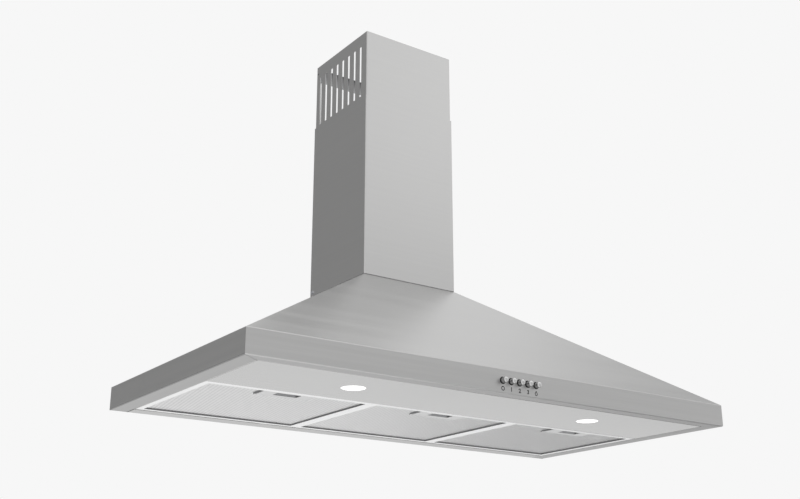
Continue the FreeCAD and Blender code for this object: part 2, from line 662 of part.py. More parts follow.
def filter_mesh(x):
    """The mesh pack: a flat face layer and a pleated layer behind it, cut out round the latch."""
    half = FILTER_WIDTH / 2 - FRAME_SHEET - MESH_PLAY
    front = -FILTER_FRONT + FRAME_SHEET + MESH_PLAY
    rear = -FILTER_REAR - FRAME_SHEET - MESH_PLAY
    skin_top = MESH_RECESS + MESH_SKIN
    crest = FILTER_HEIGHT - FRAME_SHEET - MESH_PLAY
    trough = skin_top + MESH_WAVE / 2
    pleats = int(2 * half / MESH_PITCH)
    step = half / pleats
    upper = [(x - half + number * step, crest if number % 2 else trough) for number in range(2 * pleats + 1)]
    lower = [(px, pz - MESH_WAVE) for px, pz in upper[::-1]]
    wave = prism([V(px, front, pz) for px, pz in upper + lower], V(0, rear - front, 0))
    skin = box(x - half, x + half, front, rear, MESH_RECESS, skin_top)
    cut_half = LATCH_WIDTH / 2 + LATCH_PLAY
    cutout = box(x - cut_half, x + cut_half, -FILTER_FRONT, -LATCH_REAR + LATCH_PLAY, 0, FILTER_HEIGHT)
    return joined([skin, wave]).cut(cutout)


def filter_latch_plate(x):
    """The latch's housing between the front rail and the mesh, with the finger pocket below."""
    half = LATCH_WIDTH / 2
    front = -FILTER_FRONT + FRAME_LIP + LATCH_PLAY
    body = box(x - half, x + half, front, -LATCH_REAR, 0, LATCH_HIGH)
    pocket = box(x - POCKET_WIDTH / 2, x + POCKET_WIDTH / 2, -POCKET_REAR - POCKET_LENGTH, -POCKET_REAR,
                 -SHEET, SLIDER_LOW)
    uprights = [edge for edge in pocket.Edges if edge.BoundBox.ZLength > SHEET]
    pocket = pocket.makeFillet(POCKET_CORNER, uprights)
    guide_half = SLIDER_WIDTH / 2 + SLIDER_PLAY
    guide = box(x - guide_half, x + guide_half, front - SHEET, -POCKET_REAR + LATCH_TRAVEL,
                SLIDER_LOW - SLIDER_PLAY, SLIDER_LOW + SLIDER_SHEET + SLIDER_PLAY)
    return body.cut(pocket).cut(guide)


def filter_latch_slider(x):
    """The sprung slider, drawn back: a plate with a tongue in front and a finger lug in the pocket."""
    high = SLIDER_LOW + SLIDER_SHEET
    half = SLIDER_WIDTH / 2
    rear = -POCKET_REAR - SLIDER_PLAY
    front = -FILTER_FRONT + FRAME_LIP + 2 * SLIDER_PLAY + LATCH_PLAY
    lug_half = POCKET_WIDTH / 2 - 2 * SLIDER_PLAY
    plate = box(x - half, x + half, front, rear, SLIDER_LOW, high)
    tongue = box(x - TONGUE_WIDTH / 2, x + TONGUE_WIDTH / 2, -FILTER_FRONT + TONGUE_SETBACK, front + SHEET,
                 SLIDER_LOW, high)
    lug = box(x - lug_half + POCKET_CORNER, x + lug_half - POCKET_CORNER, rear - LUG_THICKNESS, rear,
              LUG_LOW, high - SLIDER_SHEET / 2)
    return joined([plate, tongue, lug])


# ---------------------------------------------------------------- buttons

def button_places():
    middle = (len(BUTTON_NAMES) - 1) / 2
    return [(number - middle) * BUTTON_PITCH for number in range(len(BUTTON_NAMES))]


BUTTON_TIP = -HOOD_DEPTH - BUTTON_REACH
BUTTON_REAR = -HOOD_DEPTH + SHEET / 2
STEM_TIP = BUTTON_TIP + CAP_WALL
SWITCH_FRONT = -HOOD_DEPTH + SHEET + SEAT_GAP


def square_bar(x, half, y0, y1):
    """A square bar along Y through a button's middle."""
    return box(x - half, x + half, y0, y1, BUTTON_HEIGHT - half, BUTTON_HEIGHT + half)


def button_knob(x):
    """A many-sided metal cap with a square socket for its plunger."""
    cap = faceted_rod(BUTTON_RADIUS, BUTTON_SIDES, V(x, BUTTON_TIP, BUTTON_HEIGHT),
                      V(x, BUTTON_REAR, BUTTON_HEIGHT))
    return cap.cut(square_bar(x, STEM_HALF + SHAFT_PLAY, STEM_TIP - SHAFT_PLAY, BUTTON_REAR + SHEET))


def button_plunger(x):
    """The switch's square plastic plunger, stepped down where the cap sits on it."""
    shoulder = BUTTON_REAR + SHAFT_PLAY
    return joined([square_bar(x, STEM_HALF, STEM_TIP, shoulder + SHEET),
                   square_bar(x, PLUNGER_HALF, shoulder, STEM_TIP + PLUNGER_LENGTH)])


def switch_housing():
    """The switch block behind the skirt: a rim against the skirt, and a square guide for each plunger."""
    half = SWITCH_WIDTH / 2
    rear = SWITCH_FRONT + SWITCH_DEPTH
    high = SWITCH_LOW + SWITCH_HEIGHT
    body = box(-half, half, SWITCH_FRONT, rear, SWITCH_LOW, high)
    body = body.cut(box(-half + SWITCH_WALL, half - SWITCH_WALL, SWITCH_FRONT - SHEET,
                        SWITCH_FRONT + SWITCH_RECESS, SWITCH_LOW + SWITCH_WALL / 2, high - SWITCH_WALL / 2))
    guide_end = STEM_TIP + PLUNGER_LENGTH + BUTTON_TRAVEL + SHEET
    for x in button_places():
        body = body.cut(square_bar(x, PLUNGER_HALF + PLUNGER_PLAY, SWITCH_FRONT, guide_end))
    return body


# ---------------------------------------------------------------- outlet collar and flaps

def collar_point(dy, z):
    return V(0, -COLLAR_DEPTH + dy, z)


def outlet_tray():
    """A pressed tray inside the canopy's upstand that carries the duct collar and the blower below it."""
    half = UPSTAND_HALF - SHEET - SEAT_GAP
    front = -UPSTAND_FRONT + SHEET + SEAT_GAP
    rear = -SHEET - SEAT_GAP
    tray = box(-half, half, front, rear, COLLAR_TRAY_LOW, COLLAR_TRAY_TOP)
    tray = tray.cut(box(-half + SHEET, half - SHEET, front + SHEET, rear - SHEET,
                        COLLAR_TRAY_LOW + SHEET, COLLAR_TRAY_TOP))
    tray = tray.cut(faceted_rod(COLLAR_BORE, LENS_SIDES, collar_point(0, COLLAR_TRAY_LOW - SHEET),
                                collar_point(0, COLLAR_TRAY_TOP)))
    tray = tray.cut(faceted_rod(GLAND_BODY + PIN_PLAY, BORE_SIDES, V(*GLAND_AT, COLLAR_TRAY_LOW - SHEET),
                                V(*GLAND_AT, COLLAR_TRAY_TOP)))
    tray = joined([tray] + [flap_stop(turn) for turn in STOP_TURNS])
    return tray.cut(chimney_screw_holes()).cut(blower_screw_holes())


def flap_stop(turn):
    """A tab bent up from the tray's floor, inside the collar, that a closed flap's edge lies on."""
    inner = COLLAR_BORE - STOP_INSET - COLLAR_DEPTH
    high = FLAP_HEIGHT - FLAP_SHEET / 2 - SEAT_GAP
    tab = joined([box(-STOP_WIDTH / 2, STOP_WIDTH / 2, inner, COLLAR_BORE + STOP_ROOT - COLLAR_DEPTH,
                      COLLAR_TRAY_LOW, COLLAR_TRAY_LOW + SHEET),
                  box(-STOP_WIDTH / 2, STOP_WIDTH / 2, inner, inner + SHEET, COLLAR_TRAY_LOW, high)])
    tab.rotate(collar_point(0, 0), Z_AXIS, turn)
    return tab


def outlet_collar():
    """The round duct collar: a tube on a narrow many-sided foot, with the flaps' pin holes."""
    low = COLLAR_TRAY_LOW + SHEET + COLLAR_SEAT
    shape = joined([faceted_rod(COLLAR_RADIUS + COLLAR_FOOT, ROUND_SIDES, collar_point(0, low),
                                collar_point(0, low + COLLAR_WALL)),
                    rod(COLLAR_RADIUS, collar_point(0, low), collar_point(0, COLLAR_TOP))])
    shape = shape.cut(rod(COLLAR_BORE, collar_point(0, low - SHEET), collar_point(0, COLLAR_TOP + SHEET)))
    for dy in (-FLAP_AXIS, FLAP_AXIS):
        axis = collar_point(dy, FLAP_HEIGHT)
        shape = shape.cut(core(FLAP_PIN + PIN_PLAY, PIN_SIDES, axis - X_AXIS * (COLLAR_RADIUS + SHEET),
                               axis + X_AXIS * (COLLAR_RADIUS + SHEET)))
    return shape


def damper_flap(side):
    """One half-round flap with a square spine and two stub pins; side is -1 in front and 1 at the rear."""
    radius = COLLAR_BORE - FLAP_PLAY
    low = FLAP_HEIGHT - FLAP_SHEET / 2
    disc = faceted_rod(radius, LENS_SIDES, collar_point(0, low), collar_point(0, low + FLAP_SHEET))
    near = -COLLAR_DEPTH + side * FLAP_AXIS
    far = -COLLAR_DEPTH + side * COLLAR_RADIUS
    half_disc = disc.common(box(-COLLAR_RADIUS, COLLAR_RADIUS, min(near, far), max(near, far), low,
                                low + FLAP_SHEET))
    axis = collar_point(side * FLAP_AXIS, FLAP_HEIGHT)
    barrel_half = radius - SHEET / 2
    pin_half = math.sqrt(COLLAR_RADIUS ** 2 - (FLAP_AXIS + FLAP_PIN) ** 2) - 2 * PIN_PLAY
    barrel = box(-barrel_half, barrel_half, axis.y - FLAP_BARREL, axis.y + FLAP_BARREL,
                 axis.z - FLAP_BARREL, axis.z + FLAP_BARREL)
    pin = faceted_rod(FLAP_PIN, PIN_SIDES, axis - X_AXIS * pin_half, axis + X_AXIS * pin_half)
    return joined([half_disc, barrel, pin])


# ---------------------------------------------------------------- blower

def yz(x, point):
    return V(x, point[0], point[1])


def polar(centre, radius, degrees):
    """A point at a distance and a direction from a centre, both in the fan's plane."""
    turn = math.radians(degrees)
    return centre[0] + radius * math.cos(turn), centre[1] + radius * math.sin(turn)


def scroll_turns(grow):
    """Centre, radius and first direction of the casing's tongue and of its three quarter turns, in the order
    of the line from the outlet's front wall to its rear wall, set outwards by `grow`."""
    nose = (TURN_1[0], TURN_1[1] + SCROLL_START + TONGUE_RADIUS)
    turns = [(nose, TONGUE_RADIUS - grow, 0, -1)]
    for number, centre in enumerate((TURN_1, TURN_2, TURN_3)):
        turns.append((centre, SCROLL_START + number * SCROLL_STEP + grow, 90 * (number + 1), 1))
    return turns


def scroll_block(x, width, grow):
    """The solid that the casing's line encloses, closed straight across the outlet."""
    front_top = yz(x, (OUTLET_FRONT - grow, OUTLET_TOP))
    rear_top = yz(x, (OUTLET_REAR + grow, OUTLET_TOP))
    edges = []
    last = front_top
    for centre, radius, start, way in scroll_turns(grow):
        first, middle, end = [yz(x, polar(centre, radius, start + way * part)) for part in (0, 45, 90)]
        if (first - last).Length > PIN_PLAY:
            edges.append(Part.LineSegment(last, first).toShape())
        edges.append(Part.Arc(first, middle, end).toShape())
        last = end
    edges.append(Part.LineSegment(last, rear_top).toShape())
    edges.append(Part.LineSegment(rear_top, front_top).toShape())
    return Part.Face(Part.Wire(edges)).extrude(V(width, 0, 0))


def scroll_plate(x, width, grow):
    """The same outline with straight chords for its turns."""
    points = [(OUTLET_FRONT - grow, OUTLET_TOP)]
    for centre, radius, start, way in scroll_turns(grow):
        chords = SCROLL_CHORDS if way > 0 else 1
        first = 1 if way > 0 else 0
        points += [polar(centre, radius, start + way * 90 * number / chords)
                   for number in range(first, chords + 1)]
    points.append((OUTLET_REAR + grow, OUTLET_TOP))
    return prism([yz(x, point) for point in points], V(width, 0, 0))


def blower_scroll():
    """The spiral wrapper of the blower with outward flanges in front of and behind the outlet."""
    shape = scroll_block(-BLOWER_HALF, BLOWER_WIDTH, BLOWER_SHEET)
    shape = shape.cut(scroll_block(-BLOWER_HALF, BLOWER_WIDTH, 0))
    low = OUTLET_TOP - BLOWER_SHEET
    front = box(-BLOWER_HALF, BLOWER_HALF, OUTLET_FRONT - OUTLET_FLANGE, OUTLET_FRONT, low, OUTLET_TOP)
    rear = box(-BLOWER_HALF, BLOWER_HALF, OUTLET_REAR, OUTLET_REAR + OUTLET_FLANGE, low, OUTLET_TOP)
    return joined([shape, front, rear])


def blower_side():
    """The right side of the casing: a plate with a round inlet and a flange beside the outlet."""
    plate = scroll_plate(BLOWER_HALF, BLOWER_SHEET, SCROLL_RIM)
    centre = (FAN_Y, FAN_Z)
    plate = plate.cut(faceted_rod(INLET_RADIUS, LENS_SIDES, yz(BLOWER_HALF - SHEET, centre),
                                  yz(BLOWER_HALF + 2 * SHEET, centre)))
    flange = box(BLOWER_HALF, BLOWER_HALF + OUTLET_FLANGE, OUTLET_FRONT, OUTLET_REAR,
                 OUTLET_TOP - BLOWER_SHEET, OUTLET_TOP)
    return joined([plate, flange]).cut(blower_screw_holes()).cut(mount_screw_holes())


def blower_screw_places():
    x = BLOWER_HALF + OUTLET_FLANGE / 2 + BLOWER_SHEET / 2
    return [(sx * x, y) for sx in (-1, 1) for y in (OUTLET_FRONT + OUTLET_DEPTH / 4,
                                                    OUTLET_REAR - OUTLET_DEPTH / 4)]


def blower_screw_holes():
    holes = [screw_hole(V(x, y, OUTLET_TOP - 3 * SHEET), V(x, y, COLLAR_TRAY_LOW + 3 * SHEET))
             for x, y in blower_screw_places()]
    return holes[0].fuse(holes[1:])


def mount_screw_places():
    """The middles of the motor mount's three feet, on the outer face of each foot."""
    return [yz(mount_foot() + MOUNT_SHEET, polar((FAN_Y, FAN_Z), MOUNT_REACH, turn)) for turn in MOUNT_TURNS]


def mount_screw_holes():
    holes = [screw_hole(place + X_AXIS, place - X_AXIS * (MOUNT_SHEET + 3 * BLOWER_SHEET))
             for place in mount_screw_places()]
    return holes[0].fuse(holes[1:])


def case_screws():
    """The four screws that hang the blower from the collar's tray, and the motor mount's three."""
    head_seat = COLLAR_TRAY_LOW + SHEET
    screws = [screw(V(x, y, head_seat), V(0, 0, -3 * SCREW_HEAD)) for x, y in blower_screw_places()]
    screws += [screw(place, V(-2 * MOUNT_SHEET - BLOWER_SHEET, 0, 0)) for place in mount_screw_places()]
    return Part.makeCompound(screws)


def blade_section(x, turn):
    """One forward-curved blade's section: a strip of sheet bent once at half its depth."""
    centre = (FAN_Y, FAN_Z)
    middle = (IMPELLER_RADIUS + BLADE_INNER) / 2
    sheet_turn = math.degrees(BLADE_SHEET / middle)
    stations = ((BLADE_INNER, 0), (middle, BLADE_BOW), (IMPELLER_RADIUS, BLADE_SWEEP))
    near = [yz(x, polar(centre, radius, turn + swept)) for radius, swept in stations]
    far = [yz(x, polar(centre, radius, turn + swept + sheet_turn)) for radius, swept in stations]
    return Part.Face(Part.makePolygon(near + far[::-1] + near[:1]))


def impeller_cage():
    """The fan wheel's right half: blades all round between a thin ring on the disc and the end ring."""
    centre = (FAN_Y, FAN_Z)
    start = DISC_SHEET / 2 + SHAFT_PLAY
    end = IMPELLER_WIDTH / 2
    pieces = []
    for low, high in ((start, start + RING_WIDTH / 2), (end - RING_WIDTH, end)):
        pieces.append(faceted_rod(WHEEL_RIM, BLADE_COUNT, yz(low, centre), yz(high, centre)).cut(
            faceted_rod(BLADE_INNER - BLADE_SHEET, BLADE_COUNT, yz(low, centre), yz(high, centre))))
    for number in range(BLADE_COUNT):
        blade = blade_section(start + RING_WIDTH / 4, number * 360.0 / BLADE_COUNT)
        pieces.append(blade.extrude(V(end - start - 3 * RING_WIDTH / 4, 0, 0)))
    return joined(pieces)


def impeller_disc():
    """The wheel's middle disc and its hub, bored for the shaft."""
    centre = (FAN_Y, FAN_Z)
    disc = faceted_rod(WHEEL_RIM, BLADE_COUNT, yz(-DISC_SHEET / 2, centre), yz(DISC_SHEET / 2, centre))
    hub = faceted_rod(HUB_RADIUS, ROUND_SIDES, yz(-HUB_LENGTH / 2, centre), yz(DISC_SHEET, centre))
    return joined([disc, hub]).cut(core(SHAFT_RADIUS + SHAFT_PLAY, BORE_SIDES, yz(-HUB_LENGTH, centre),
                                        yz(HUB_LENGTH, centre)))


def motor_shaft():
    centre = (FAN_Y, FAN_Z)
    start = -HUB_LENGTH / 2 - NUT_HEIGHT - 2 * SHEET
    end = MOTOR_START + MOTOR_LENGTH - SHEET
    return rod(SHAFT_RADIUS, yz(start, centre), yz(end, centre))


def impeller_nut():
    """The hexagon nut that holds the wheel on the shaft."""
    centre = (FAN_Y, FAN_Z)
    high = -HUB_LENGTH / 2 - SHAFT_PLAY
    corners = [yz(high - NUT_HEIGHT, polar(centre, NUT_SIZE / math.sqrt(3), 60 * n)) for n in range(6)]
    nut = prism(corners, V(NUT_HEIGHT, 0, 0))
    return nut.cut(core(SHAFT_RADIUS + SHAFT_PLAY, BORE_SIDES, yz(high - NUT_HEIGHT - SHEET, centre),
                        yz(high + SHEET, centre)))


def motor_body():
    """The motor: a drum with two narrower end bells, a nose bearing and the shaft's bore."""
    start = MOTOR_START
    end = MOTOR_START + MOTOR_LENGTH
    bell = MOTOR_BELL
    bell_radius = MOTOR_RADIUS - MOTOR_BELL_STEP
    centre = (FAN_Y, FAN_Z)
    body = joined([faceted_rod(MOTOR_RADIUS, LENS_SIDES, yz(start + bell, centre), yz(end - bell, centre)),
                   faceted_rod(bell_radius, ROUND_SIDES, yz(start, centre), yz(end, centre)),
                   faceted_rod(MOTOR_NOSE_RADIUS, SCREW_SIDES, yz(start - MOTOR_NOSE, centre),
                               yz(end, centre))])
    return body.cut(core(SHAFT_RADIUS + SHAFT_PLAY, BORE_SIDES, yz(0, centre), yz(end + SHEET, centre)))


def mount_foot():
    return BLOWER_HALF + BLOWER_SHEET


def motor_mount():
    """The three-armed spider that carries the motor by its end bell from the casing's right side."""
    ring_start = MOTOR_START + MOTOR_LENGTH
    centre = (FAN_Y, FAN_Z)
    ring_end = yz(ring_start + MOUNT_SHEET, centre)
    pieces = [faceted_rod(MOTOR_RADIUS - MOUNT_RING_INSET, ROUND_SIDES, yz(ring_start, centre), ring_end).cut(
        faceted_rod(MOTOR_RADIUS - MOUNT_BORE_INSET, ROUND_SIDES, yz(ring_start, centre), ring_end))]
    half = MOUNT_ARM / 2
    for turn in MOUNT_TURNS:
        arm = joined([
            box(ring_start, ring_start + MOUNT_SHEET, FAN_Y - half, FAN_Y + half,
                FAN_Z + MOTOR_RADIUS - MOUNT_ARM_INSET, FAN_Z + MOUNT_REACH - half),
            box(mount_foot(), ring_start + MOUNT_SHEET, FAN_Y - half, FAN_Y + half,
                FAN_Z + MOUNT_REACH - half - MOUNT_SHEET, FAN_Z + MOUNT_REACH - half),
            box(mount_foot(), mount_foot() + MOUNT_SHEET, FAN_Y - half, FAN_Y + half,
                FAN_Z + MOUNT_REACH - half - MOUNT_SHEET, FAN_Z + MOUNT_REACH + half)])
        arm.rotate(V(0, FAN_Y, FAN_Z), X_AXIS, turn - 90)
        pieces.append(arm)
    return joined(pieces).cut(mount_screw_holes())


# ---------------------------------------------------------------- electrics

def cover_box(sizes, ribs):
    """A small closed housing on the bottom panel, with shallow ribs across its top."""
    x0, x1, y0, y1, height = sizes
    low = PANEL_SHEET + SEAT_GAP
    body = box(x0, x1, y0, y1, low, low + height)
    uprights = [edge for edge in body.Edges if edge.BoundBox.ZLength > SHEET]
    body = body.makeFillet(BOX_CORNER, uprights)
    step = (x1 - x0) / (ribs + 1)
    bars = [box(x0 + step * n - RIB_HALF, x0 + step * n + RIB_HALF, y0 + RIB_INSET, y1 - RIB_INSET,
                low + height - RIB_HALF, low + height + RIB_HALF) for n in range(1, ribs + 1)]
    return joined([body] + bars)


def capacitor():
    """The motor's run capacitor: a can with two terminals."""
    low = PANEL_SHEET + SEAT_GAP
    high = low + CAPACITOR_HEIGHT
    can = faceted_rod(CAPACITOR_RADIUS, ROUND_SIDES, V(*CAPACITOR, low), V(*CAPACITOR, high))
    middles = [CAPACITOR[0] + side * BLADE_TERMINAL_SPREAD for side in (-1, 1)]
    pins = [box(x - BLADE_TERMINAL_HALF, x + BLADE_TERMINAL_HALF, CAPACITOR[1] - BLADE_TERMINAL_SHEET / 2,
                CAPACITOR[1] + BLADE_TERMINAL_SHEET / 2, high - SHEET, high + BLADE_TERMINAL_LENGTH)
            for x in middles]
    return joined([can] + pins)


def cable_gland():
    """The mains cable's gland: a round body through the collar's tray between two hexagons."""
    low = COLLAR_TRAY_LOW - GLAND_DROP
    seat = COLLAR_TRAY_LOW + SHEET

    def at(height):
        return V(*GLAND_AT, height)

    body = joined([faceted_rod(GLAND_BODY, BORE_SIDES, at(low), at(low + GLAND_LENGTH)),
                   faceted_rod(GLAND_FLANGE, 6, at(low), at(COLLAR_TRAY_LOW - PIN_PLAY)),
                   faceted_rod(GLAND_FLANGE, 6, at(seat + PIN_PLAY), at(seat + GLAND_HEAD))])
    return body.cut(rod(GLAND_BORE, at(low), at(low + GLAND_LENGTH)))


LEAD_REST = PANEL_SHEET + SEAT_GAP + LAMP_LEAD


def left_lamp_lead_points():
    """From the left lamp's boss, down to the panel and up again into the LED driver's left end."""
    x = -LAMP_SPACING / 2 + lamp_boss_reach()
    y = (DRIVER_BOX[2] + DRIVER_BOX[3]) / 2
    end = DRIVER_BOX[0]
    return [V(x, -LAMP_DEPTH, lamp_lead_height()), V(x + LEFT_LEAD_OUT, -LAMP_DEPTH, lamp_lead_height()),
            V(x + LEFT_LEAD_DOWN, -LAMP_DEPTH + LEFT_LEAD_ASIDE, LEAD_REST),
            V(end - LEFT_LEAD_IN, y, DRIVER_LEAD_HEIGHT), V(end, y, DRIVER_LEAD_HEIGHT)]


def right_lamp_lead_points():
    """From the right lamp's boss, behind the terminal box, and into the LED driver's rear."""
    x = LAMP_SPACING / 2 - lamp_boss_reach()
    y = TERMINAL_BOX[3] + RIGHT_LEAD_BEHIND
    end = (DRIVER_BOX[0] + 3 * DRIVER_BOX[1]) / 4
    return [V(x, -LAMP_DEPTH, lamp_lead_height()), V(x - RIGHT_LEAD_OUT, -LAMP_DEPTH, lamp_lead_height()),
            V(x - RIGHT_LEAD_DOWN, y, LEAD_REST), V(end + RIGHT_LEAD_PAST, y, LEAD_REST + RIGHT_LEAD_LIFT),
            V(end, DRIVER_BOX[3] + RIGHT_LEAD_IN, DRIVER_LEAD_HEIGHT),
            V(end, DRIVER_BOX[3], DRIVER_LEAD_HEIGHT)]


def switch_lead_points():
    """From the switch block's right end to the terminal box's front."""
    x = SWITCH_WIDTH / 2
    y = SWITCH_FRONT + SWITCH_DEPTH / 2
    z = BUTTON_HEIGHT
    return [V(x, y, z), V(x + SWITCH_LEAD_OUT, y, z), V(x + SWITCH_LEAD_ACROSS, y + SWITCH_LEAD_BACK, z),
            V(x + SWITCH_LEAD_ACROSS, TERMINAL_BOX[2], z)]


def motor_lead_points():
    """From the terminal box's rear, up behind the blower's front and into the motor's end."""
    x = (TERMINAL_BOX[0] + TERMINAL_BOX[1]) / 2
    start = TERMINAL_BOX[3]
    end = MOTOR_START + MOTOR_LENGTH
    entry = (FAN_Y + MOTOR_LEAD_END[0], FAN_Z + MOTOR_LEAD_END[1])
    return [V(x, start, MOTOR_LEAD_HEIGHT), V(x, start + MOTOR_LEAD_OUT, MOTOR_LEAD_HEIGHT),
            V(x + MOTOR_LEAD_ASIDE, FAN_Y + MOTOR_LEAD_CLIMB[0], MOTOR_LEAD_CLIMB[1]),
            V(x, FAN_Y + MOTOR_LEAD_CREST[0], FAN_Z + MOTOR_LEAD_CREST[1]),
            yz(end + MOTOR_LEAD_IN, entry), yz(end, entry)]


# ---------------------------------------------------------------- the whole hood

def build():
    os.makedirs("parts", exist_ok=True)
    left_sheet = canopy_left_sheet()
    right_side = blower_side()
    save("canopy_front_sheet", canopy_front_sheet())
    save("canopy_left_sheet", left_sheet)
    save("canopy_right_sheet", mirrored(left_sheet))
    save("canopy_back_sheet", canopy_back_sheet())
    save("bottom_panel", bottom_panel())
    save("lower_chimney", lower_chimney())
    save("upper_chimney", upper_chimney())
    save("chimney_screws", chimney_screws())
    save("chimney_bracket", chimney_bracket())
    for name, x in zip(("lamp_left", "lamp_right"), lamp_places()):
        save(name + "_lens", lamp_lens(x))
        save(name + "_housing", lamp_housing(x, 1 if x < 0 else -1))
        save(name + "_board", lamp_board(x))
    for name, x in zip(("filter_left", "filter_centre", "filter_right"), filter_places()):
        save(name + "_frame", filter_frame(x))
        save(name + "_mesh", filter_mesh(x))
        save(name + "_latch_plate", filter_latch_plate(x))
        save(name + "_latch_slider", filter_latch_slider(x))
    for name, x in zip(BUTTON_NAMES, button_places()):
        save("button_" + name + "_knob", button_knob(x))
        save("button_" + name + "_plunger", button_plunger(x))
    save("switch_housing", switch_housing())
    save("outlet_tray", outlet_tray())
    save("outlet_collar", outlet_collar())
    save("damper_flap_front", damper_flap(-1))
    save("damper_flap_rear", damper_flap(1))
    save("blower_scroll", blower_scroll())
    save("blower_right_side", right_side)
    save("blower_left_side", mirrored(right_side))
    right_cage = impeller_cage()
    save("impeller_right_cage", right_cage)
    save("impeller_left_cage", mirrored(right_cage))
    save("impeller_disc", impeller_disc())
    save("impeller_nut", impeller_nut())
    save("motor_shaft", motor_shaft())
    save("motor_body", motor_body())
    save("motor_mount", motor_mount())
    save("case_screws", case_screws())
    save("terminal_box", cover_box(TERMINAL_BOX, TERMINAL_BOX_RIBS))
    save("led_driver", cover_box(DRIVER_BOX, DRIVER_BOX_RIBS))
    save("capacitor", capacitor())
    save("cable_gland", cable_gland())
    save("lamp_left_lead", lead(left_lamp_lead_points(), LAMP_LEAD))
    save("lamp_right_lead", lead(right_lamp_lead_points(), LAMP_LEAD))
    save("switch_lead", lead(switch_lead_points(), POWER_LEAD))
    save("motor_lead", lead(motor_lead_points(), POWER_LEAD))


build()
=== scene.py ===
import math

import bmesh
import bpy
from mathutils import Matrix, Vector


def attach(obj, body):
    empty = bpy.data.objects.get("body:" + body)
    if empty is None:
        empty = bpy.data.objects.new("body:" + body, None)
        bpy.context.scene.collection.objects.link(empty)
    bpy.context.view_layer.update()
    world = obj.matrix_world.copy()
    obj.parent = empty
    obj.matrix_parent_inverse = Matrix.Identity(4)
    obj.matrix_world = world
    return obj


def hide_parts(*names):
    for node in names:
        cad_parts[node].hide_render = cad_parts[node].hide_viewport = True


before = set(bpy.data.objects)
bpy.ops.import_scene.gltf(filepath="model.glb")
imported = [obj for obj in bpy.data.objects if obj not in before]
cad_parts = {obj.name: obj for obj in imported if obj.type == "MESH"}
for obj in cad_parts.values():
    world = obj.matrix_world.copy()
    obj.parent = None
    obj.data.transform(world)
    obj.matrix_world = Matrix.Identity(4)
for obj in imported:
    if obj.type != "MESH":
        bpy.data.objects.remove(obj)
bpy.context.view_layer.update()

MM = 0.001

# Sizes in millimetres; heights count from the hood's underside, as in the CAD source.
HOOK_HEIGHT = 190.0
HOOD_DEPTH = 452.0
BUTTONS = ("off", "speed_1", "speed_2", "speed_3", "light")
BUTTON_PITCH = 16.0
BUTTON_HEIGHT = 19.0
BUTTON_REACH = 9.5
SLEEVE_REACH = 1.3
LABEL_MIDDLE = 7.3
LABEL_HEIGHT = 6.6
LAMPS = (("lamp_left", -228.0), ("lamp_right", 228.0))
LAMP_DEPTH = 356.0
FILTERS = (("filter_left", -280.0), ("filter_centre", 0.0), ("filter_right", 280.0))
FILTER_HALF = 139.5
FILTER_FRONT = 278.0
FILTER_REAR = 31.0
LATCH_HALF = 43.0
LATCH_REAR = 239.0
FRAME_LIP = 9.0
UPPER_HALF = 93.9
LABEL_STANDOFF = 0.03      # the printed signs, in front of the skirt
SIGN_SIZE = 9.0
SIGN_WEIGHT = 0.30         # how far the digits' outlines are thickened
ZERO_RADII = (2.6, 2.8)
ZERO_STROKE = 1.35
ZERO_POINTS = 36
GLOBE_RADIUS = 2.15        # the lamp sign's open globe
GLOBE_MIDDLE = -1.1
LATTICE_PITCH = (4.4, 3.2)
LATTICE_INSET = 1.4        # from the filter's outline to the first and last cells
STRAND = 0.40              # a strand's width, as a share of half a cell
LATTICE_LOW = 2.1
LATTICE_RISE = 0.12
# heights of the dark wedge of painted shadow beside each latch plate
SHADOW_WEDGE_HEIGHTS = (1.3, 2.05)
PANEL_SEAL_RUN = (-428.0, -280.4)
FILTER_SEAL_RUN = (-279.9, -32.0)
BRACKET_SCREW_DEPTH = -7.0
BRACKET_SCREW_HEIGHT = 690.0
BRACKET_SCREW_STANDOFF = 0.05
BRACKET_SCREW_SEAT = 0.8
CAP_SIDES = 40
LAMP_SIDES = 72
SCREW_SIDES = 24
END_FACE = -0.25           # a cap's faces whose normals lie below this in Y get the paler end material, a painted highlight
SHARP_ANGLE = 35

# Sizes in metres, and shares of light and colour
BACKGROUND = 0.930
WORLD_FILL = 0.60
FLOOR_SHARE = 0.72         # how much of the floor that the camera sees is the plain background
FLOOR_HEIGHT = -1.20
FLOOR_SIZE = 16
# colour factor for faces that look straight down: painted shade
UNDER_SHADE = 0.74
DIMPLE_PITCH = 0.0060
DIMPLE_ROWS = 0.0340
# colour factors of the dimples' painted shading
DIMPLE_SHADES = (0.74, 1.02)
FINE_STREAKS = (7.0, 1500.0)       # noise scale along and across the grinding
BROAD_STREAKS = (1.6, 170.0)
CLOUDS = (3.0, 4.0)
STREAK_SPREAD = 0.07
STREAK_RELIEF = 0.10
FOLD_SLOPE = 0.10          # how far down a face must look to be part of a fold, and to be flat
FLAT_SLOPE = 0.97

# Reflection cards: name, middle, width, height, turns in degrees, grey level
CARDS = (
    ("card_back_left", (-1.65, 0.75, 0.75), 2.9, 1.9, (90, 0, 0), 0.345),
    ("card_front_low", (2.2, -2.8, -0.05), 4.4, 2.3, (90, 0, 0), 0.635),
    ("card_right", (3.2, 0.9, 1.2), 2.6, 3.0, (90, 0, 90), 0.55),
    ("card_floor", (1.98, -0.5, FLOOR_HEIGHT + 0.02), 2.4, 3.4, (0, 0, 0), 0.335),
)
# Area lights: name, place, aim, width, height, watts
KEY = ("key", (2.2, -2.6, 1.9), (0, -0.2, 0.1), 1.8, 1.8, 2.5)
TOP_LIGHT = ("top_light", (0.4, -0.6, 2.6), (0.1, -0.3, -0.05), 1.6, 1.6, 3)
LOW_FILL = ("low_fill", (0.2, -0.8, FLOOR_HEIGHT + 0.05), (0.2, -0.2, 0), 2.4, 1.6, 12)
CAMERA_PLACE = (-1.06665, -1.66601, -0.51615)
CAMERA_RISE = 18.976       # degrees over the horizon
CAMERA_TURN = -35.067
CAMERA_LENS = 50.0
CAMERA_SENSOR = 36.0
CAMERA_REACH = 60


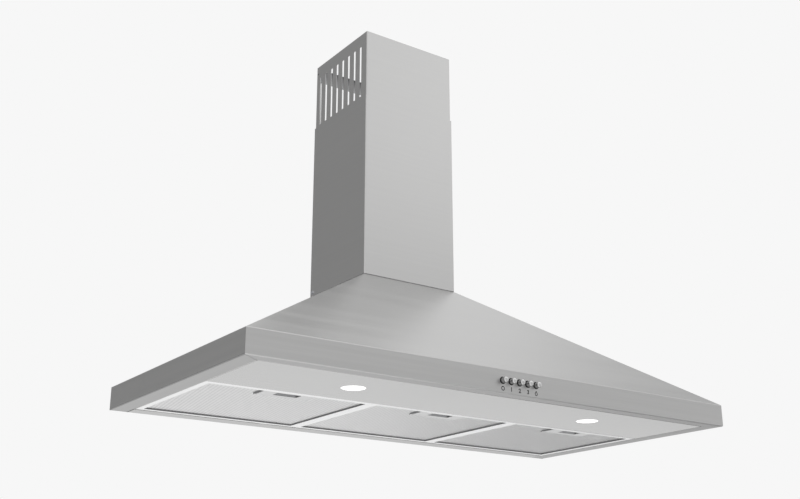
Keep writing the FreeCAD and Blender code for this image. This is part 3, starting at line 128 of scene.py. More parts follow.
def at(x, y, z):
    """A point in the row frame, in metres, from millimetres and a height over the underside."""
    return Vector((x * MM, y * MM, (z - HOOK_HEIGHT) * MM))


# ---------------------------------------------------------------- materials

def material(name):
    """A new material with one Principled shader: the material, its node tree and the shader."""
    mat = bpy.data.materials.new(name)
    mat.use_nodes = True
    nodes = mat.node_tree.nodes
    nodes.clear()
    out = nodes.new("ShaderNodeOutputMaterial")
    shader = nodes.new("ShaderNodeBsdfPrincipled")
    mat.node_tree.links.new(shader.outputs["BSDF"], out.inputs["Surface"])
    return mat, mat.node_tree, shader


def math_node(tree, operation, a, b=None):
    """A Math node on two sockets or numbers."""
    node = tree.nodes.new("ShaderNodeMath")
    node.operation = operation
    for socket, value in zip(node.inputs, (a, b)):
        if value is None:
            continue
        if isinstance(value, (int, float)):
            socket.default_value = value
        else:
            tree.links.new(value, socket)
    return node.outputs[0]


def dot(tree, vector, weights):
    """The dot product of a vector socket and three numbers."""
    node = tree.nodes.new("ShaderNodeVectorMath")
    node.operation = "DOT_PRODUCT"
    tree.links.new(vector, node.inputs[0])
    node.inputs[1].default_value = weights
    return node.outputs["Value"]


def noise(tree, vector, scale=1.0, detail=3.0, roughness=0.6):
    """Fractal noise, 0 to 1."""
    node = tree.nodes.new("ShaderNodeTexNoise")
    tree.links.new(vector, node.inputs["Vector"])
    node.inputs["Scale"].default_value = scale
    node.inputs["Detail"].default_value = detail
    node.inputs["Roughness"].default_value = roughness
    return node.outputs[0]


def ramp(tree, value, low, high):
    """Maps a 0 to 1 value to the range low to high."""
    node = tree.nodes.new("ShaderNodeMapRange")
    tree.links.new(value, node.inputs["Value"])
    node.inputs["To Min"].default_value = low
    node.inputs["To Max"].default_value = high
    return node.outputs["Result"]


def tint(tree, shader, base, factor):
    """Multiplies the base colour by a factor that varies over the surface."""
    node = tree.nodes.new("ShaderNodeVectorMath")
    node.operation = "SCALE"
    node.inputs[0].default_value = base
    tree.links.new(factor, node.inputs["Scale"])
    tree.links.new(node.outputs["Vector"], shader.inputs["Base Color"])


def bump(tree, shader, height, strength, distance):
    """Relief from a 0 to 1 height."""
    node = tree.nodes.new("ShaderNodeBump")
    node.inputs["Strength"].default_value = strength
    node.inputs["Distance"].default_value = distance
    tree.links.new(height, node.inputs["Height"])
    tree.links.new(node.outputs["Normal"], shader.inputs["Normal"])


def gloss_and_relief(tree, shader, pattern, rough, spread, strength, distance=0.0001):
    """Varies the roughness by `spread` either way of `rough`, and the relief, with a 0 to 1 pattern."""
    tree.links.new(ramp(tree, pattern, rough - spread, rough + spread), shader.inputs["Roughness"])
    bump(tree, shader, pattern, strength, distance)


def streak_vector(tree, along, across, along_scale, across_scale):
    """Texture coordinates stretched along one direction of the sheet."""
    coordinates = tree.nodes.new("ShaderNodeTexCoord").outputs["Object"]
    combine = tree.nodes.new("ShaderNodeCombineXYZ")
    for socket, direction, scale in zip(combine.inputs, (along, across), (along_scale, across_scale)):
        tree.links.new(math_node(tree, "MULTIPLY", dot(tree, coordinates, direction), scale), socket)
    return combine.outputs[0]


def brushed_steel(name, along, across, base=0.56, rough=0.36, under=1.0, folded=1.0, grain=1.0):
    """Stainless sheet ground in one direction: fine and broad streaks in colour, gloss and relief.  `under`
    is the colour factor for faces that look straight down, a painted shade; `folded` the one for the bend
    above them, a painted highlight where above 1 and painted shade where below 1; and `grain` how strong
    the streaks are."""
    mat, tree, shader = material(name)
    fine = noise(tree, streak_vector(tree, along, across, *FINE_STREAKS), detail=4.0, roughness=0.7)
    broad = noise(tree, streak_vector(tree, along, across, *BROAD_STREAKS), detail=3.0)
    cloud = noise(tree, streak_vector(tree, along, across, *CLOUDS), detail=2.0)
    mixed = math_node(tree, "ADD", math_node(tree, "MULTIPLY", fine, 0.5),
                      math_node(tree, "MULTIPLY", broad, 0.5))
    spread = STREAK_SPREAD * grain
    shade = math_node(tree, "MULTIPLY", ramp(tree, mixed, 1 - spread, 1 + spread),
                      ramp(tree, cloud, 0.985, 1.015))
    # painted shade on faces that look straight down and painted light on the fold above them, both chosen by
    # the face's normal
    if under < 1.0:
        normal = tree.nodes.new("ShaderNodeNewGeometry").outputs["Normal"]
        downward = dot(tree, normal, (0, 0, -1))
        fold = math_node(tree, "GREATER_THAN", downward, FOLD_SLOPE)
        flat = math_node(tree, "GREATER_THAN", downward, FLAT_SLOPE)
        shade = math_node(tree, "MULTIPLY", shade, ramp(tree, fold, 1.0, folded))
        shade = math_node(tree, "MULTIPLY", shade, ramp(tree, flat, 1.0, under / folded))
    tint(tree, shader, (base, base * 0.998, base * 0.992), shade)
    shader.inputs["Metallic"].default_value = 1.0
    gloss_and_relief(tree, shader, mixed, rough, spread, STREAK_RELIEF * grain, 0.0002)
    return mat


def satin_metal(name, base, rough, grain=900.0, metallic=1.0, variation=0.05):
    """Smooth metal or paint with a fine speckle."""
    mat, tree, shader = material(name)
    coordinates = tree.nodes.new("ShaderNodeTexCoord").outputs["Object"]
    speckle = noise(tree, coordinates, grain, 3.0)
    cloud = noise(tree, coordinates, 22.0, 2.0)
    shade = math_node(tree, "MULTIPLY", ramp(tree, speckle, 1 - variation, 1 + variation),
                      ramp(tree, cloud, 0.97, 1.03))
    tint(tree, shader, base, shade)
    shader.inputs["Metallic"].default_value = metallic
    gloss_and_relief(tree, shader, speckle, rough, 0.06, 0.12)
    return mat


def dimpled_foil(name, base, rough):
    """Bright filter foil with staggered shallow dimples painted into its colour as paler and darker spots, a
    painted shading of their relief.
    """
    mat, tree, shader = material(name)
    coordinates = tree.nodes.new("ShaderNodeTexCoord").outputs["Object"]
    across = math_node(tree, "SINE", dot(tree, coordinates, (2 * math.pi / DIMPLE_PITCH, 0, 0)))
    along = math_node(tree, "SINE", dot(tree, coordinates, (0, 2 * math.pi / DIMPLE_ROWS, 0)))
    waves = math_node(tree, "MULTIPLY", across, along)
    dimples = math_node(tree, "MULTIPLY", math_node(tree, "ADD", waves, 1.0), 0.5)
    speckle = noise(tree, coordinates, 900.0, 3.0)
    # the dimple pattern tints the colour: painted shading of the dimples' relief
    shade = math_node(tree, "MULTIPLY", ramp(tree, dimples, *DIMPLE_SHADES), ramp(tree, speckle, 0.95, 1.05))
    tint(tree, shader, base, shade)
    shader.inputs["Metallic"].default_value = 1.0
    gloss_and_relief(tree, shader, speckle, rough, 0.06, 0.12)
    return mat


def spangled_zinc(name):
    """Hot-dip galvanised sheet with its crystal spangle."""
    mat, tree, shader = material(name)
    coordinates = tree.nodes.new("ShaderNodeTexCoord").outputs["Object"]
    cells = tree.nodes.new("ShaderNodeTexVoronoi")
    tree.links.new(coordinates, cells.inputs["Vector"])
    cells.inputs["Scale"].default_value = 130.0
    value = dot(tree, cells.outputs["Color"], (0.4, 0.3, 0.3))
    tint(tree, shader, (0.56, 0.58, 0.60), ramp(tree, value, 0.86, 1.10))
    shader.inputs["Metallic"].default_value = 1.0
    tree.links.new(ramp(tree, value, 0.34, 0.52), shader.inputs["Roughness"])
    bump(tree, shader, noise(tree, coordinates, 400.0), 0.10, 0.0001)
    return mat


def strip_painted_shade(name):
    """Galvanised strip, dull, with painted shade that darkens it towards its upper edge."""
    mat, tree, shader = material(name)
    coordinates = tree.nodes.new("ShaderNodeTexCoord")
    speckle = noise(tree, coordinates.outputs["Object"], 500.0)
    height = dot(tree, coordinates.outputs["Generated"], (0, 0, 1))
    # painted shade: the colour darkens towards the strip's upper edge
    shade = math_node(tree, "MULTIPLY", ramp(tree, height, 1.0, 0.22), ramp(tree, speckle, 0.92, 1.08))
    tint(tree, shader, (0.42, 0.425, 0.43), shade)
    shader.inputs["Metallic"].default_value = 1.0
    tree.links.new(ramp(tree, speckle, 0.44, 0.60), shader.inputs["Roughness"])
    bump(tree, shader, speckle, 0.10, 0.0001)
    return mat


def moulded(name, base, rough=0.45, grain=1400.0, strength=0.10):
    """Moulded plastic with a fine spark-eroded grain."""
    mat, tree, shader = material(name)
    coordinates = tree.nodes.new("ShaderNodeTexCoord").outputs["Object"]
    grain_value = noise(tree, coordinates, grain, 2.0)
    cloud = noise(tree, coordinates, 30.0, 2.0)
    tint(tree, shader, base, ramp(tree, cloud, 0.95, 1.05))
    gloss_and_relief(tree, shader, grain_value, rough, 0.05, strength)
    return mat


def lit_lens(name):
    """Frosted lens, lit from behind."""
    mat, tree, shader = material(name)
    coordinates = tree.nodes.new("ShaderNodeTexCoord").outputs["Object"]
    frost = noise(tree, coordinates, 700.0, 2.0)
    tint(tree, shader, (0.95, 0.95, 0.94), ramp(tree, frost, 0.98, 1.02))
    shader.inputs["Roughness"].default_value = 0.4
    shader.inputs["Emission Color"].default_value = (1.0, 0.995, 0.98, 1.0)
    shader.inputs["Emission Strength"].default_value = 0.75
    bump(tree, shader, frost, 0.08, 0.0001)
    return mat


RIGHT, INTO, UP = (1, 0, 0), (0, 1, 0), (0, 0, 1)
# folded paints each sheet's bend: a painted highlight on the front sheet, painted shade on the left and
# right sheets
STEEL_FRONT = brushed_steel("steel_front", RIGHT, (0, -1, 1), under=UNDER_SHADE, folded=1.12, grain=1.7)
STEEL_LEFT = brushed_steel("steel_left", INTO, (1, 0, 1), under=UNDER_SHADE, folded=0.5, grain=1.7)
STEEL_RIGHT = brushed_steel("steel_right", INTO, (-1, 0, 1), under=UNDER_SHADE, folded=0.9)
STEEL_UPRIGHT = brushed_steel("steel_upright", (1, 1, 0), UP)
STEEL_PANEL = brushed_steel("steel_panel", RIGHT, (0, 1, 1), base=0.535, rough=0.27, grain=0.2)
ZINC = spangled_zinc("zinc_spangle")
# the bracket strip, with painted shade along its upper edge
STRIP = strip_painted_shade("strip_painted_shade")
FRAME_METAL = satin_metal("filter_frame_metal", (0.97, 0.97, 0.97), 0.32)
MESH_METAL = dimpled_foil("filter_mesh_metal", (0.98, 0.98, 0.98), 0.31)
MESH_BACKING = dimpled_foil("filter_backing_metal", (0.98, 0.98, 0.98), 0.36)
LATCH_METAL = satin_metal("latch_plate_metal", (0.66, 0.66, 0.66), 0.32)
# one metal in two copies: the cap's darker side is painted shade, its paler end painted highlight
KNOB_METAL = satin_metal("knob_metal", (0.36, 0.36, 0.36), 0.28, variation=0.03)
KNOB_END_PAINTED_HIGHLIGHT = satin_metal("knob_end_painted_highlight", (0.66, 0.66, 0.66), 0.22, variation=0.03)
RING_METAL = satin_metal("lamp_ring_metal", (0.72, 0.72, 0.72), 0.30)
SEAL = moulded("edge_seal", (0.585, 0.585, 0.576), 0.55)
# a darker copy of the seal for the right side: painted shade
SEAL_PAINTED_SHADE = moulded("edge_seal_painted_shade", (0.30, 0.30, 0.295), 0.60)
# dark material for the filters' painted shadow pieces
SHADOW_LINE = moulded("filter_liner", (0.20, 0.20, 0.205), 0.60)
SCREW_METAL = satin_metal("screw_metal", (0.66, 0.67, 0.70), 0.30)
DARK_SCREW = satin_metal("dark_screw_metal", (0.16, 0.16, 0.17), 0.40)
SHAFT_METAL = satin_metal("shaft_metal", (0.60, 0.60, 0.61), 0.26)
CAN_METAL = satin_metal("can_metal", (0.72, 0.72, 0.74), 0.30)
MOTOR_PAINT = satin_metal("motor_paint", (0.10, 0.105, 0.115), 0.46, metallic=0.0)
BLACK = moulded("black_plastic", (0.012, 0.012, 0.013), 0.60)
DARK = moulded("dark_plastic", (0.055, 0.056, 0.060), 0.50)
FLAP_GREY = moulded("flap_plastic", (0.075, 0.076, 0.080), 0.48)
WHEEL_GREY = moulded("wheel_plastic", (0.045, 0.046, 0.050), 0.44)
WHITE = moulded("white_plastic", (0.78, 0.78, 0.76), 0.42)
SLIDER_GREY = moulded("slider_plastic", (0.40, 0.40, 0.41), 0.46)
BOARD = moulded("board_lacquer", (0.80, 0.80, 0.77), 0.35, 500.0)
SLEEVE = moulded("lead_sleeve", (0.12, 0.125, 0.13), 0.40, 900.0)
LENS = lit_lens("lit_lens")
PRINT = moulded("print_grey", (0.022, 0.022, 0.023), 0.60)

NODE_MATERIALS = {
    "canopy_front_sheet": STEEL_FRONT, "canopy_left_sheet": STEEL_LEFT, "canopy_right_sheet": STEEL_RIGHT,
    "canopy_back_sheet": STEEL_UPRIGHT, "bottom_panel": STEEL_PANEL, "lower_chimney": STEEL_UPRIGHT,
    "upper_chimney": STEEL_UPRIGHT, "chimney_bracket": STRIP, "chimney_screws": SCREW_METAL,
    "case_screws": SCREW_METAL,
    "switch_housing": BLACK, "outlet_tray": ZINC, "outlet_collar": FLAP_GREY,
    "damper_flap_front": FLAP_GREY, "damper_flap_rear": FLAP_GREY, "blower_scroll": ZINC,
    "blower_left_side": ZINC, "blower_right_side": ZINC, "impeller_left_cage": WHEEL_GREY,
    "impeller_right_cage": WHEEL_GREY, "impeller_disc": WHEEL_GREY, "impeller_nut": SCREW_METAL,
    "motor_shaft": SHAFT_METAL, "motor_body": MOTOR_PAINT, "motor_mount": ZINC, "terminal_box": DARK,
    "led_driver": WHITE, "capacitor": CAN_METAL, "cable_gland": DARK,
}
ENDINGS = {"_lens": LENS, "_housing": WHITE, "_board": BOARD, "_frame": FRAME_METAL, "_mesh": MESH_BACKING,
           "_latch_plate": LATCH_METAL, "_latch_slider": SLIDER_GREY, "_knob": KNOB_METAL,
           "_plunger": BLACK, "_lead": SLEEVE}


def dress_nodes():
    """Gives each CAD node its material."""
    for name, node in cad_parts.items():
        mat = NODE_MATERIALS.get(name)
        if mat is None:
            mat = next(m for ending, m in ENDINGS.items() if name.endswith(ending))
        node.data.materials.clear()
        node.data.materials.append(mat)


# ---------------------------------------------------------------- pieces

def piece(name, mesh, mat, body, smooth=False):
    """A new piece of the visual model that moves with a body."""
    obj = bpy.data.objects.new(name, mesh)
    bpy.context.scene.collection.objects.link(obj)
    mesh.materials.append(mat)
    if smooth:
        for polygon in mesh.polygons:
            polygon.use_smooth = True
        mesh.set_sharp_from_angle(angle=math.radians(SHARP_ANGLE))
    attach(obj, body)
    return obj


def mesh_from(name, points, faces):
    """A mesh from points and the faces that join them."""
    mesh = bpy.data.meshes.new(name)
    mesh.from_pydata([tuple(p) for p in points], [], faces)
    mesh.update()
    return mesh


def lathe(name, profile, origin, axis, sides=48):
    """A closed or open profile of (radius, distance along the axis) pairs in mm, turned about a row axis."""
    axis = Vector(axis)
    side = Vector((0, 0, 1)) if abs(axis.z) < 0.5 else Vector((1, 0, 0))
    other = axis.cross(side)
    bm = bmesh.new()
    rings = []
    for radius, along in profile:
        centre = origin + axis * (along * MM)
        if radius < 1e-6:
            rings.append([bm.verts.new(centre)])
            continue
        rings.append([bm.verts.new(centre + (side * math.cos(t) + other * math.sin(t)) * (radius * MM))
                      for t in (2 * math.pi * k / sides for k in range(sides))])
    for low, high in zip(rings, rings[1:]):
        for k in range(sides):
            n = (k + 1) % sides
            corners = [low[k % len(low)], low[n % len(low)], high[n % len(high)], high[k % len(high)]]
            unique = list(dict.fromkeys(corners))
            if len(unique) > 2:
                bm.faces.new(unique)
    bmesh.ops.recalc_face_normals(bm, faces=bm.faces)
    mesh = bpy.data.meshes.new(name)
    bm.to_mesh(mesh)
    bm.free()
    return mesh


def button_x(number):
    """A button's place across the hood, counted from the left."""
    return (number - (len(BUTTONS) - 1) / 2) * BUTTON_PITCH


def buttons():
    """Turned button caps whose domed end is paler than the side, a painted highlight and painted shade, a
    black sleeve behind each and a black bezel round it.
    """
    tip = -BUTTON_REACH
    sleeve_end = -SLEEVE_REACH
    profile = [(3.3, sleeve_end), (4.05, sleeve_end), (4.2, sleeve_end - 0.15), (4.2, tip + 2.0),
               (4.1, tip + 1.35), (3.85, tip + 0.85), (3.4, tip + 0.45), (2.7, tip + 0.18),
               (1.5, tip + 0.04), (0, tip), (0, tip + 2.36), (3.3, tip + 2.36), (3.3, sleeve_end)]
    sleeve = [(3.3, 0.45), (4.0, 0.45), (4.12, 0.33), (4.12, sleeve_end), (3.3, sleeve_end), (3.3, 0.45)]
    bezel = [(4.3, 0.25), (4.3, 4.4), (4.98, 4.4), (4.98, 0.1), (5.4, -0.04), (5.4, -0.12), (4.9, -0.14),
             (4.5, -0.02), (4.3, 0.25)]
    for number, name in enumerate(BUTTONS):
        origin = at(button_x(number), -HOOD_DEPTH, BUTTON_HEIGHT)
        cap = piece("cap_" + name, lathe("cap_" + name, profile, origin, INTO, CAP_SIDES), KNOB_METAL,
                    "button_" + name, smooth=True)
        cap.data.materials.append(KNOB_END_PAINTED_HIGHLIGHT)
        # faces turned towards -Y get the paler copy: painted highlight
        for polygon in cap.data.polygons:
            polygon.material_index = int(polygon.normal.y < END_FACE)
        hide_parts("button_" + name + "_knob")
        piece("sleeve_" + name, lathe("sleeve_" + name, sleeve, origin, INTO, CAP_SIDES), BLACK,
              "button_" + name, smooth=True)
        ring = lathe("bezel_" + name, bezel, origin, INTO, CAP_SIDES)
        piece("bezel_" + name, ring, BLACK, "hood", smooth=True)


def text_mesh(name, body, x, size):
    """A flat printed sign, scaled to the labels' height."""
    curve = bpy.data.curves.new(name, "FONT")
    curve.body = body
    curve.size = size * MM
    curve.align_x = "CENTER"
    curve.extrude = 0.02 * MM
    curve.offset = SIGN_WEIGHT * MM
    curve.resolution_u = 6
    obj = bpy.data.objects.new(name + "_curve", curve)
    bpy.context.scene.collection.objects.link(obj)
    bpy.context.view_layer.update()
    mesh = bpy.data.meshes.new_from_object(obj)
    bpy.data.objects.remove(obj)
    low = min(v.co.y for v in mesh.vertices)
    high = max(v.co.y for v in mesh.vertices)
    scale = LABEL_HEIGHT * MM / (high - low)
    middle = (low + high) / 2
    centre = at(x, -HOOD_DEPTH - LABEL_STANDOFF, LABEL_MIDDLE)
    for v in mesh.vertices:
        v.co = centre + Vector((v.co.x * scale, -v.co.z, (v.co.y - middle) * scale))
    return mesh


def stroke(points, width, closed=False):
    """Flat ribbon along points of a drawing plane; returns its points and faces."""
    out = []
    count = len(points)
    for n, p in enumerate(points):
        before = points[(n - 1) % count] if closed or n else p
        after = points[(n + 1) % count] if closed or n < count - 1 else p
        run = Vector((after[0] - before[0], after[1] - before[1])).normalized()
        side = Vector((-run.y, run.x)) * (width / 2)
        out += [(p[0] + side.x, p[1] + side.y), (p[0] - side.x, p[1] - side.y)]
    faces = [(2 * n, 2 * n + 1, 2 * n + 3, 2 * n + 2) for n in range(count - 1)]
    if closed:
        faces.append((2 * count - 2, 2 * count - 1, 1, 0))
    return out, faces


def drawn_mesh(x, lines):
    """Flat strokes on the skirt: each line is (points in mm round the label's middle, width, closed)."""
    points, faces = [], []
    for line, width, closed in lines:
        more, quads = stroke(line, width, closed)
        faces.extend([tuple(i + len(points) for i in quad) for quad in quads])
        points.extend(more)
    places = [at(x + px, -HOOD_DEPTH - LABEL_STANDOFF, LABEL_MIDDLE + pz) for px, pz in points]
    return mesh_from("label", places, faces)


def zero_mesh(x):
    """The off sign: an open ring."""
    turns = [2 * math.pi * k / ZERO_POINTS for k in range(ZERO_POINTS)]
    ring = [(ZERO_RADII[0] * math.cos(t), ZERO_RADII[1] * math.sin(t)) for t in turns]
    return drawn_mesh(x, [(ring, ZERO_STROKE, True)])


def bulb_mesh(x):
    """A lamp symbol, cap up: two strokes for the cap, a neck and an open globe."""
    globe = [(GLOBE_RADIUS * math.sin(t), GLOBE_MIDDLE - GLOBE_RADIUS * math.cos(t))
             for t in (math.radians(d) for d in range(-150, 151, 8))]
    return drawn_mesh(x, [([(-0.85, 1.7)] + globe + [(0.85, 1.7)], 1.3, False),
                          ([(-1.1, 2.2), (1.1, 2.2)], 0.95, False),
                          ([(-0.8, 3.0), (0.8, 3.0)], 0.9, False)])


def labels():
    """The printed sign under each button."""
    piece("label_0", zero_mesh(button_x(0)), PRINT, "hood")
    for number, sign in enumerate(("1", "2", "3")):
        mesh = text_mesh("label_" + sign, sign, button_x(number + 1), SIGN_SIZE)
        piece("label_" + sign, mesh, PRINT, "hood")
    piece("label_lamp", bulb_mesh(button_x(4)), PRINT, "hood")


def lamps():
    """A frosted lens with a rounded rim in each lamp hole, and a thin bright ring round it."""
    lens = [(0, 0.30), (12.0, 0.27), (16.6, 0.16), (17.6, 0.20), (17.95, 0.5), (18.0, 0.9),
            (18.0, 2.4), (0, 2.4)]
    ring = [(18.1, 0.35), (18.25, 0.12), (18.5, 0.03), (18.8, 0.03), (18.95, 0.15), (18.95, 1.05),
            (21.6, 1.15), (21.6, 1.9), (18.1, 1.9), (18.1, 0.35)]
    for name, x in LAMPS:
        origin = at(x, -LAMP_DEPTH, 0)
        glass = piece(name + "_glass", lathe(name + "_glass", lens, origin, UP, LAMP_SIDES), LENS, "hood",
                      smooth=True)
        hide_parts(name + "_lens")
        piece(name + "_ring", lathe(name + "_ring", ring, origin, UP, LAMP_SIDES), RING_METAL, "hood",
              smooth=True)


def lattice(name, x_middle):
    """One layer of expanded metal: diamond cells whose strands slope from the outer to the inner edge."""
    points, faces = [], []
    pitch_x, pitch_y = LATTICE_PITCH
    half = FILTER_HALF - LATTICE_INSET
    front = -FILTER_FRONT + LATTICE_INSET
    rear = -FILTER_REAR - LATTICE_INSET
    rows = int((rear - front) / (pitch_y / 2)) - 1
    columns = int(2 * half / pitch_x)
    for row in range(rows):
        y = front + (row + 1) * pitch_y / 2
        offset = 0.5 * pitch_x * (row % 2)
        for column in range(columns):
            x = -half + pitch_x / 2 + column * pitch_x + offset
            if x + pitch_x / 2 > half:
                continue
            if abs(x) < LATCH_HALF + pitch_x / 2 and y < -LATCH_REAR + pitch_y / 2:
                continue
            start = len(points)
            for shrink, z in ((0.0, LATTICE_LOW), (STRAND, LATTICE_LOW + LATTICE_RISE)):
                for dx, dy in ((pitch_x / 2, 0), (0, pitch_y / 2), (-pitch_x / 2, 0), (0, -pitch_y / 2)):
                    points.append(at(x_middle + x + dx * (1 - shrink), y + dy * (1 - shrink), z))
            for k in range(4):
                n = (k + 1) % 4
                faces.append((start + n, start + k, start + 4 + k, start + 4 + n))
    return mesh_from(name, points, faces)


def frame_ring(name, x_middle, profile):
    """A mitred ring inside a filter's frame, from (distance from the opening's edge, height) pairs."""
    points, faces = [], []
    for inset, z in profile:
        half = FILTER_HALF - FRAME_LIP - inset
        front = -FILTER_FRONT + FRAME_LIP + inset
        rear = -FILTER_REAR - FRAME_LIP - inset
        corners = ((-half, front), (half, front), (half, rear), (-half, rear))
        points += [at(x_middle + dx, y, z) for dx, y in corners]
    count = len(profile)
    for n in range(count):
        low, high = 4 * n, 4 * ((n + 1) % count)
        for k in range(4):
            m = (k + 1) % 4
            faces.append((low + k, low + m, high + m, high + k))
    return tidied(mesh_from(name, points, faces))


def tidied(mesh):
    """The same mesh with its face normals turned outwards."""
    bm = bmesh.new()
    bm.from_mesh(mesh)
    bmesh.ops.recalc_face_normals(bm, faces=bm.faces)
    bm.to_mesh(mesh)
    bm.free()
    return mesh


def prism(name, points):
    """A closed prism from the corners of one end and then, in the same order, those of the other."""
    count = len(points) // 2
    faces = [(n, (n + 1) % count, count + (n + 1) % count, count + n) for n in range(count)]
    faces += [tuple(range(count)), tuple(range(2 * count - 1, count - 1, -1))]
    return tidied(mesh_from(name, points, faces))


def shadow_wedge_mesh(name, x):
    """A thin dark wedge of painted shadow at the left of a latch plate, widest at the plate's rear end."""
    left = x - LATCH_HALF
    outline = [(left + 2.4, -LATCH_REAR + 9.5), (left - 2.8, -LATCH_REAR - 0.5),
               (left - 3.7, -LATCH_REAR - 14.0), (left - 0.1, -FILTER_FRONT + FRAME_LIP + 2.0),
               (left - 0.1, -LATCH_REAR + 0.1)]
    return prism(name, [at(px, py, z) for z in SHADOW_WEDGE_HEIGHTS for px, py in outline])


def filters():
    """Expanded-metal face of each filter, with a dark ring of painted shadow inside its frame and a dark
    wedge of painted shadow beside its latch.
    """
    shadow_ring_profile = [(0.1, 0.35), (0.35, 0.2), (0.55, 0.35), (0.6, 2.05), (0.1, 2.05)]
    for name, x in FILTERS:
        mesh = lattice(name + "_lattice", x)
        piece(name + "_lattice", mesh, MESH_METAL, name)
        # a dark ring along the inside of the frame: painted shadow
        piece(name + "_liner", frame_ring(name + "_liner", x, shadow_ring_profile), SHADOW_LINE, name)
        # a dark wedge beside the latch plate: painted shadow
        piece(name + "_shadow_wedge", shadow_wedge_mesh(name + "_shadow_wedge", x), SHADOW_LINE, name)


def side_seals():
    """Edge seals between the side flanges and the bottom panel and filters, the right ones in a darker copy
    of the seal material: painted shade.
    """
    hem = [(-421.02, 1.6), (-421.25, 0.9), (-421.5, 0.6), (-421.85, 0.32)]
    by_panel = hem + [(-420.45, 0.32), (-420.62, 0.6), (-420.7, 1.6)]
    by_filter = hem + [(-419.9, 0.32), (-419.95, 0.6), (-420.0, 1.6)]
    for side, word in ((1, "left"), (-1, "right")):
        for kind, section, run in (("panel", by_panel, PANEL_SEAL_RUN),
                                   ("filter", by_filter, FILTER_SEAL_RUN)):
            name = "seal_" + word + "_" + kind
            mesh = prism(name, [at(side * x, y, z) for y in run for x, z in section])
            piece(name, mesh, SEAL if side > 0 else SEAL_PAINTED_SHADE, "hood")


def bracket_screws():
    """Small domed screws through the upper cover's sides into the bracket's ears."""
    profile = [(0, -0.05), (0.9, -0.1), (1.6, -0.35), (1.75, -0.7), (1.75, -0.78), (0, -0.78)]
    for side, word in ((-1, "left"), (1, "right")):
        origin = at(side * (UPPER_HALF + BRACKET_SCREW_STANDOFF), BRACKET_SCREW_DEPTH, BRACKET_SCREW_HEIGHT)
        mesh = lathe("bracket_screw_" + word, [(r, -d - BRACKET_SCREW_SEAT) for r, d in profile], origin,
                     (side, 0, 0), SCREW_SIDES)
        piece("bracket_screw_" + word, mesh, DARK_SCREW, "upper_chimney", smooth=True)


# ---------------------------------------------------------------- light, floor and camera

def plane(name, centre, size_x, size_y, rotation, mat):
    """A flat piece of the stage."""
    bm = bmesh.new()
    bmesh.ops.create_grid(bm, x_segments=1, y_segments=1, size=0.5)
    for v in bm.verts:
        v.co.x *= size_x
        v.co.y *= size_y
    mesh = bpy.data.meshes.new(name)
    bm.to_mesh(mesh)
    bm.free()
    obj = bpy.data.objects.new(name, mesh)
    obj.location = centre
    obj.rotation_euler = rotation
    bpy.context.scene.collection.objects.link(obj)
    mesh.materials.append(mat)
    return obj


def area_light(name, place, aim, width, height, watts):
    """An area light, unseen by the camera, that faces its aim."""
    light = bpy.data.lights.new(name, "AREA")
    light.shape = "RECTANGLE"
    light.size = width
    light.size_y = height
    light.energy = watts
    obj = bpy.data.objects.new(name, light)
    obj.location = place
    obj.rotation_euler = (Vector(aim) - Vector(place)).to_track_quat("-Z", "Y").to_euler()
    obj.visible_camera = False
    bpy.context.scene.collection.objects.link(obj)
    return obj


def emitter(name, level):
    """A plain grey glow."""
    mat = bpy.data.materials.new(name)
    mat.use_nodes = True
    mat.node_tree.nodes.clear()
    out = mat.node_tree.nodes.new("ShaderNodeOutputMaterial")
    emission = mat.node_tree.nodes.new("ShaderNodeEmission")
    emission.inputs["Color"].default_value = (level, level, level, 1)
    mat.node_tree.links.new(emission.outputs[0], out.inputs["Surface"])
    return mat


def card(name, centre, width, height, degrees, level):
    """A grey card that shows in reflections alone: not to the camera, in diffuse light or as a shadow."""
    turns = [math.radians(d) for d in degrees]
    obj = plane(name, centre, width, height, turns, emitter(name + "_grey", level))
    obj.visible_camera = False
    obj.visible_diffuse = False
    obj.visible_shadow = False


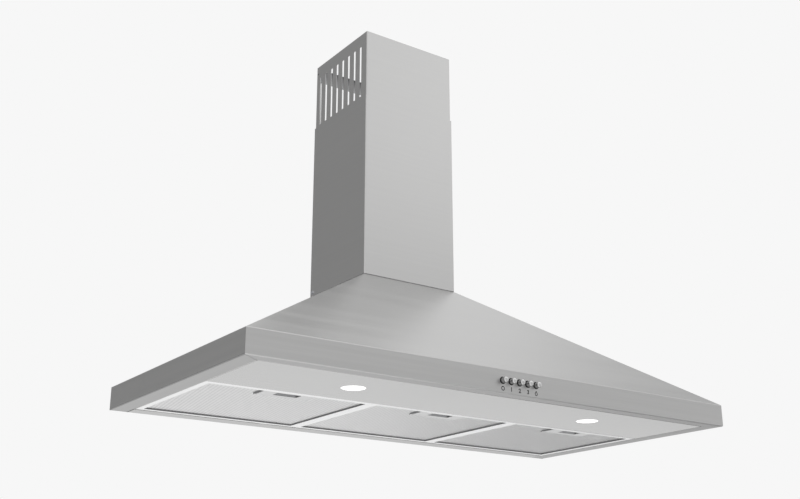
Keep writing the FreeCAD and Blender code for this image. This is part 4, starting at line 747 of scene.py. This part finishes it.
def studio():
    """World, floor, cards, lights and camera."""
    scene = bpy.context.scene
    world = bpy.data.worlds.new("studio")
    scene.world = world
    world.use_nodes = True
    tree = world.node_tree
    tree.nodes.clear()
    out = tree.nodes.new("ShaderNodeOutputWorld")
    mix = tree.nodes.new("ShaderNodeMixShader")
    fill = tree.nodes.new("ShaderNodeBackground")
    fill.inputs["Color"].default_value = (WORLD_FILL, WORLD_FILL, WORLD_FILL, 1)
    back = tree.nodes.new("ShaderNodeBackground")
    back.inputs["Color"].default_value = (BACKGROUND, BACKGROUND, BACKGROUND, 1)
    path = tree.nodes.new("ShaderNodeLightPath")
    seen = math_node(tree, "MAXIMUM", path.outputs["Is Camera Ray"], path.outputs["Is Glossy Ray"])
    seen = math_node(tree, "MAXIMUM", seen, path.outputs["Is Transmission Ray"])
    tree.links.new(seen, mix.inputs[0])
    tree.links.new(fill.outputs[0], mix.inputs[1])
    tree.links.new(back.outputs[0], mix.inputs[2])
    tree.links.new(mix.outputs[0], out.inputs["Surface"])

    mat, tree, shader = material("pale_floor")
    shader.inputs["Roughness"].default_value = 0.8
    coordinates = tree.nodes.new("ShaderNodeTexCoord").outputs["Object"]
    tint(tree, shader, (0.86, 0.86, 0.86), ramp(tree, noise(tree, coordinates, 3.0), 0.99, 1.01))
    mirrored = tree.nodes.new("ShaderNodeEmission")
    mirrored.inputs["Color"].default_value = (BACKGROUND, BACKGROUND, BACKGROUND, 1)
    mix = tree.nodes.new("ShaderNodeMixShader")
    path = tree.nodes.new("ShaderNodeLightPath")
    seen = math_node(tree, "MULTIPLY", path.outputs["Is Camera Ray"], FLOOR_SHARE)
    tree.links.new(math_node(tree, "MAXIMUM", seen, path.outputs["Is Glossy Ray"]), mix.inputs[0])
    tree.links.new(shader.outputs[0], mix.inputs[1])
    tree.links.new(mirrored.outputs[0], mix.inputs[2])
    out = next(n for n in tree.nodes if n.type == "OUTPUT_MATERIAL")
    tree.links.new(mix.outputs[0], out.inputs["Surface"])
    plane("floor", (0, 0, FLOOR_HEIGHT), FLOOR_SIZE, FLOOR_SIZE, (0, 0, 0), mat)

    for grey_card in CARDS:
        card(*grey_card)
    area_light(*KEY)
    area_light(*TOP_LIGHT)
    low_fill = area_light(*LOW_FILL)
    low_fill.visible_glossy = False

    scene.view_settings.view_transform = "Standard"
    camera = bpy.data.cameras.new("camera")
    camera.lens = CAMERA_LENS
    camera.sensor_width = CAMERA_SENSOR
    camera.sensor_fit = "HORIZONTAL"
    camera.clip_end = CAMERA_REACH
    obj = bpy.data.objects.new("camera", camera)
    obj.location = CAMERA_PLACE
    obj.rotation_euler = (math.radians(90 + CAMERA_RISE), 0, math.radians(CAMERA_TURN))
    scene.collection.objects.link(obj)
    scene.camera = obj


dress_nodes()
buttons()
labels()
lamps()
filters()
side_seals()
bracket_screws()
studio()
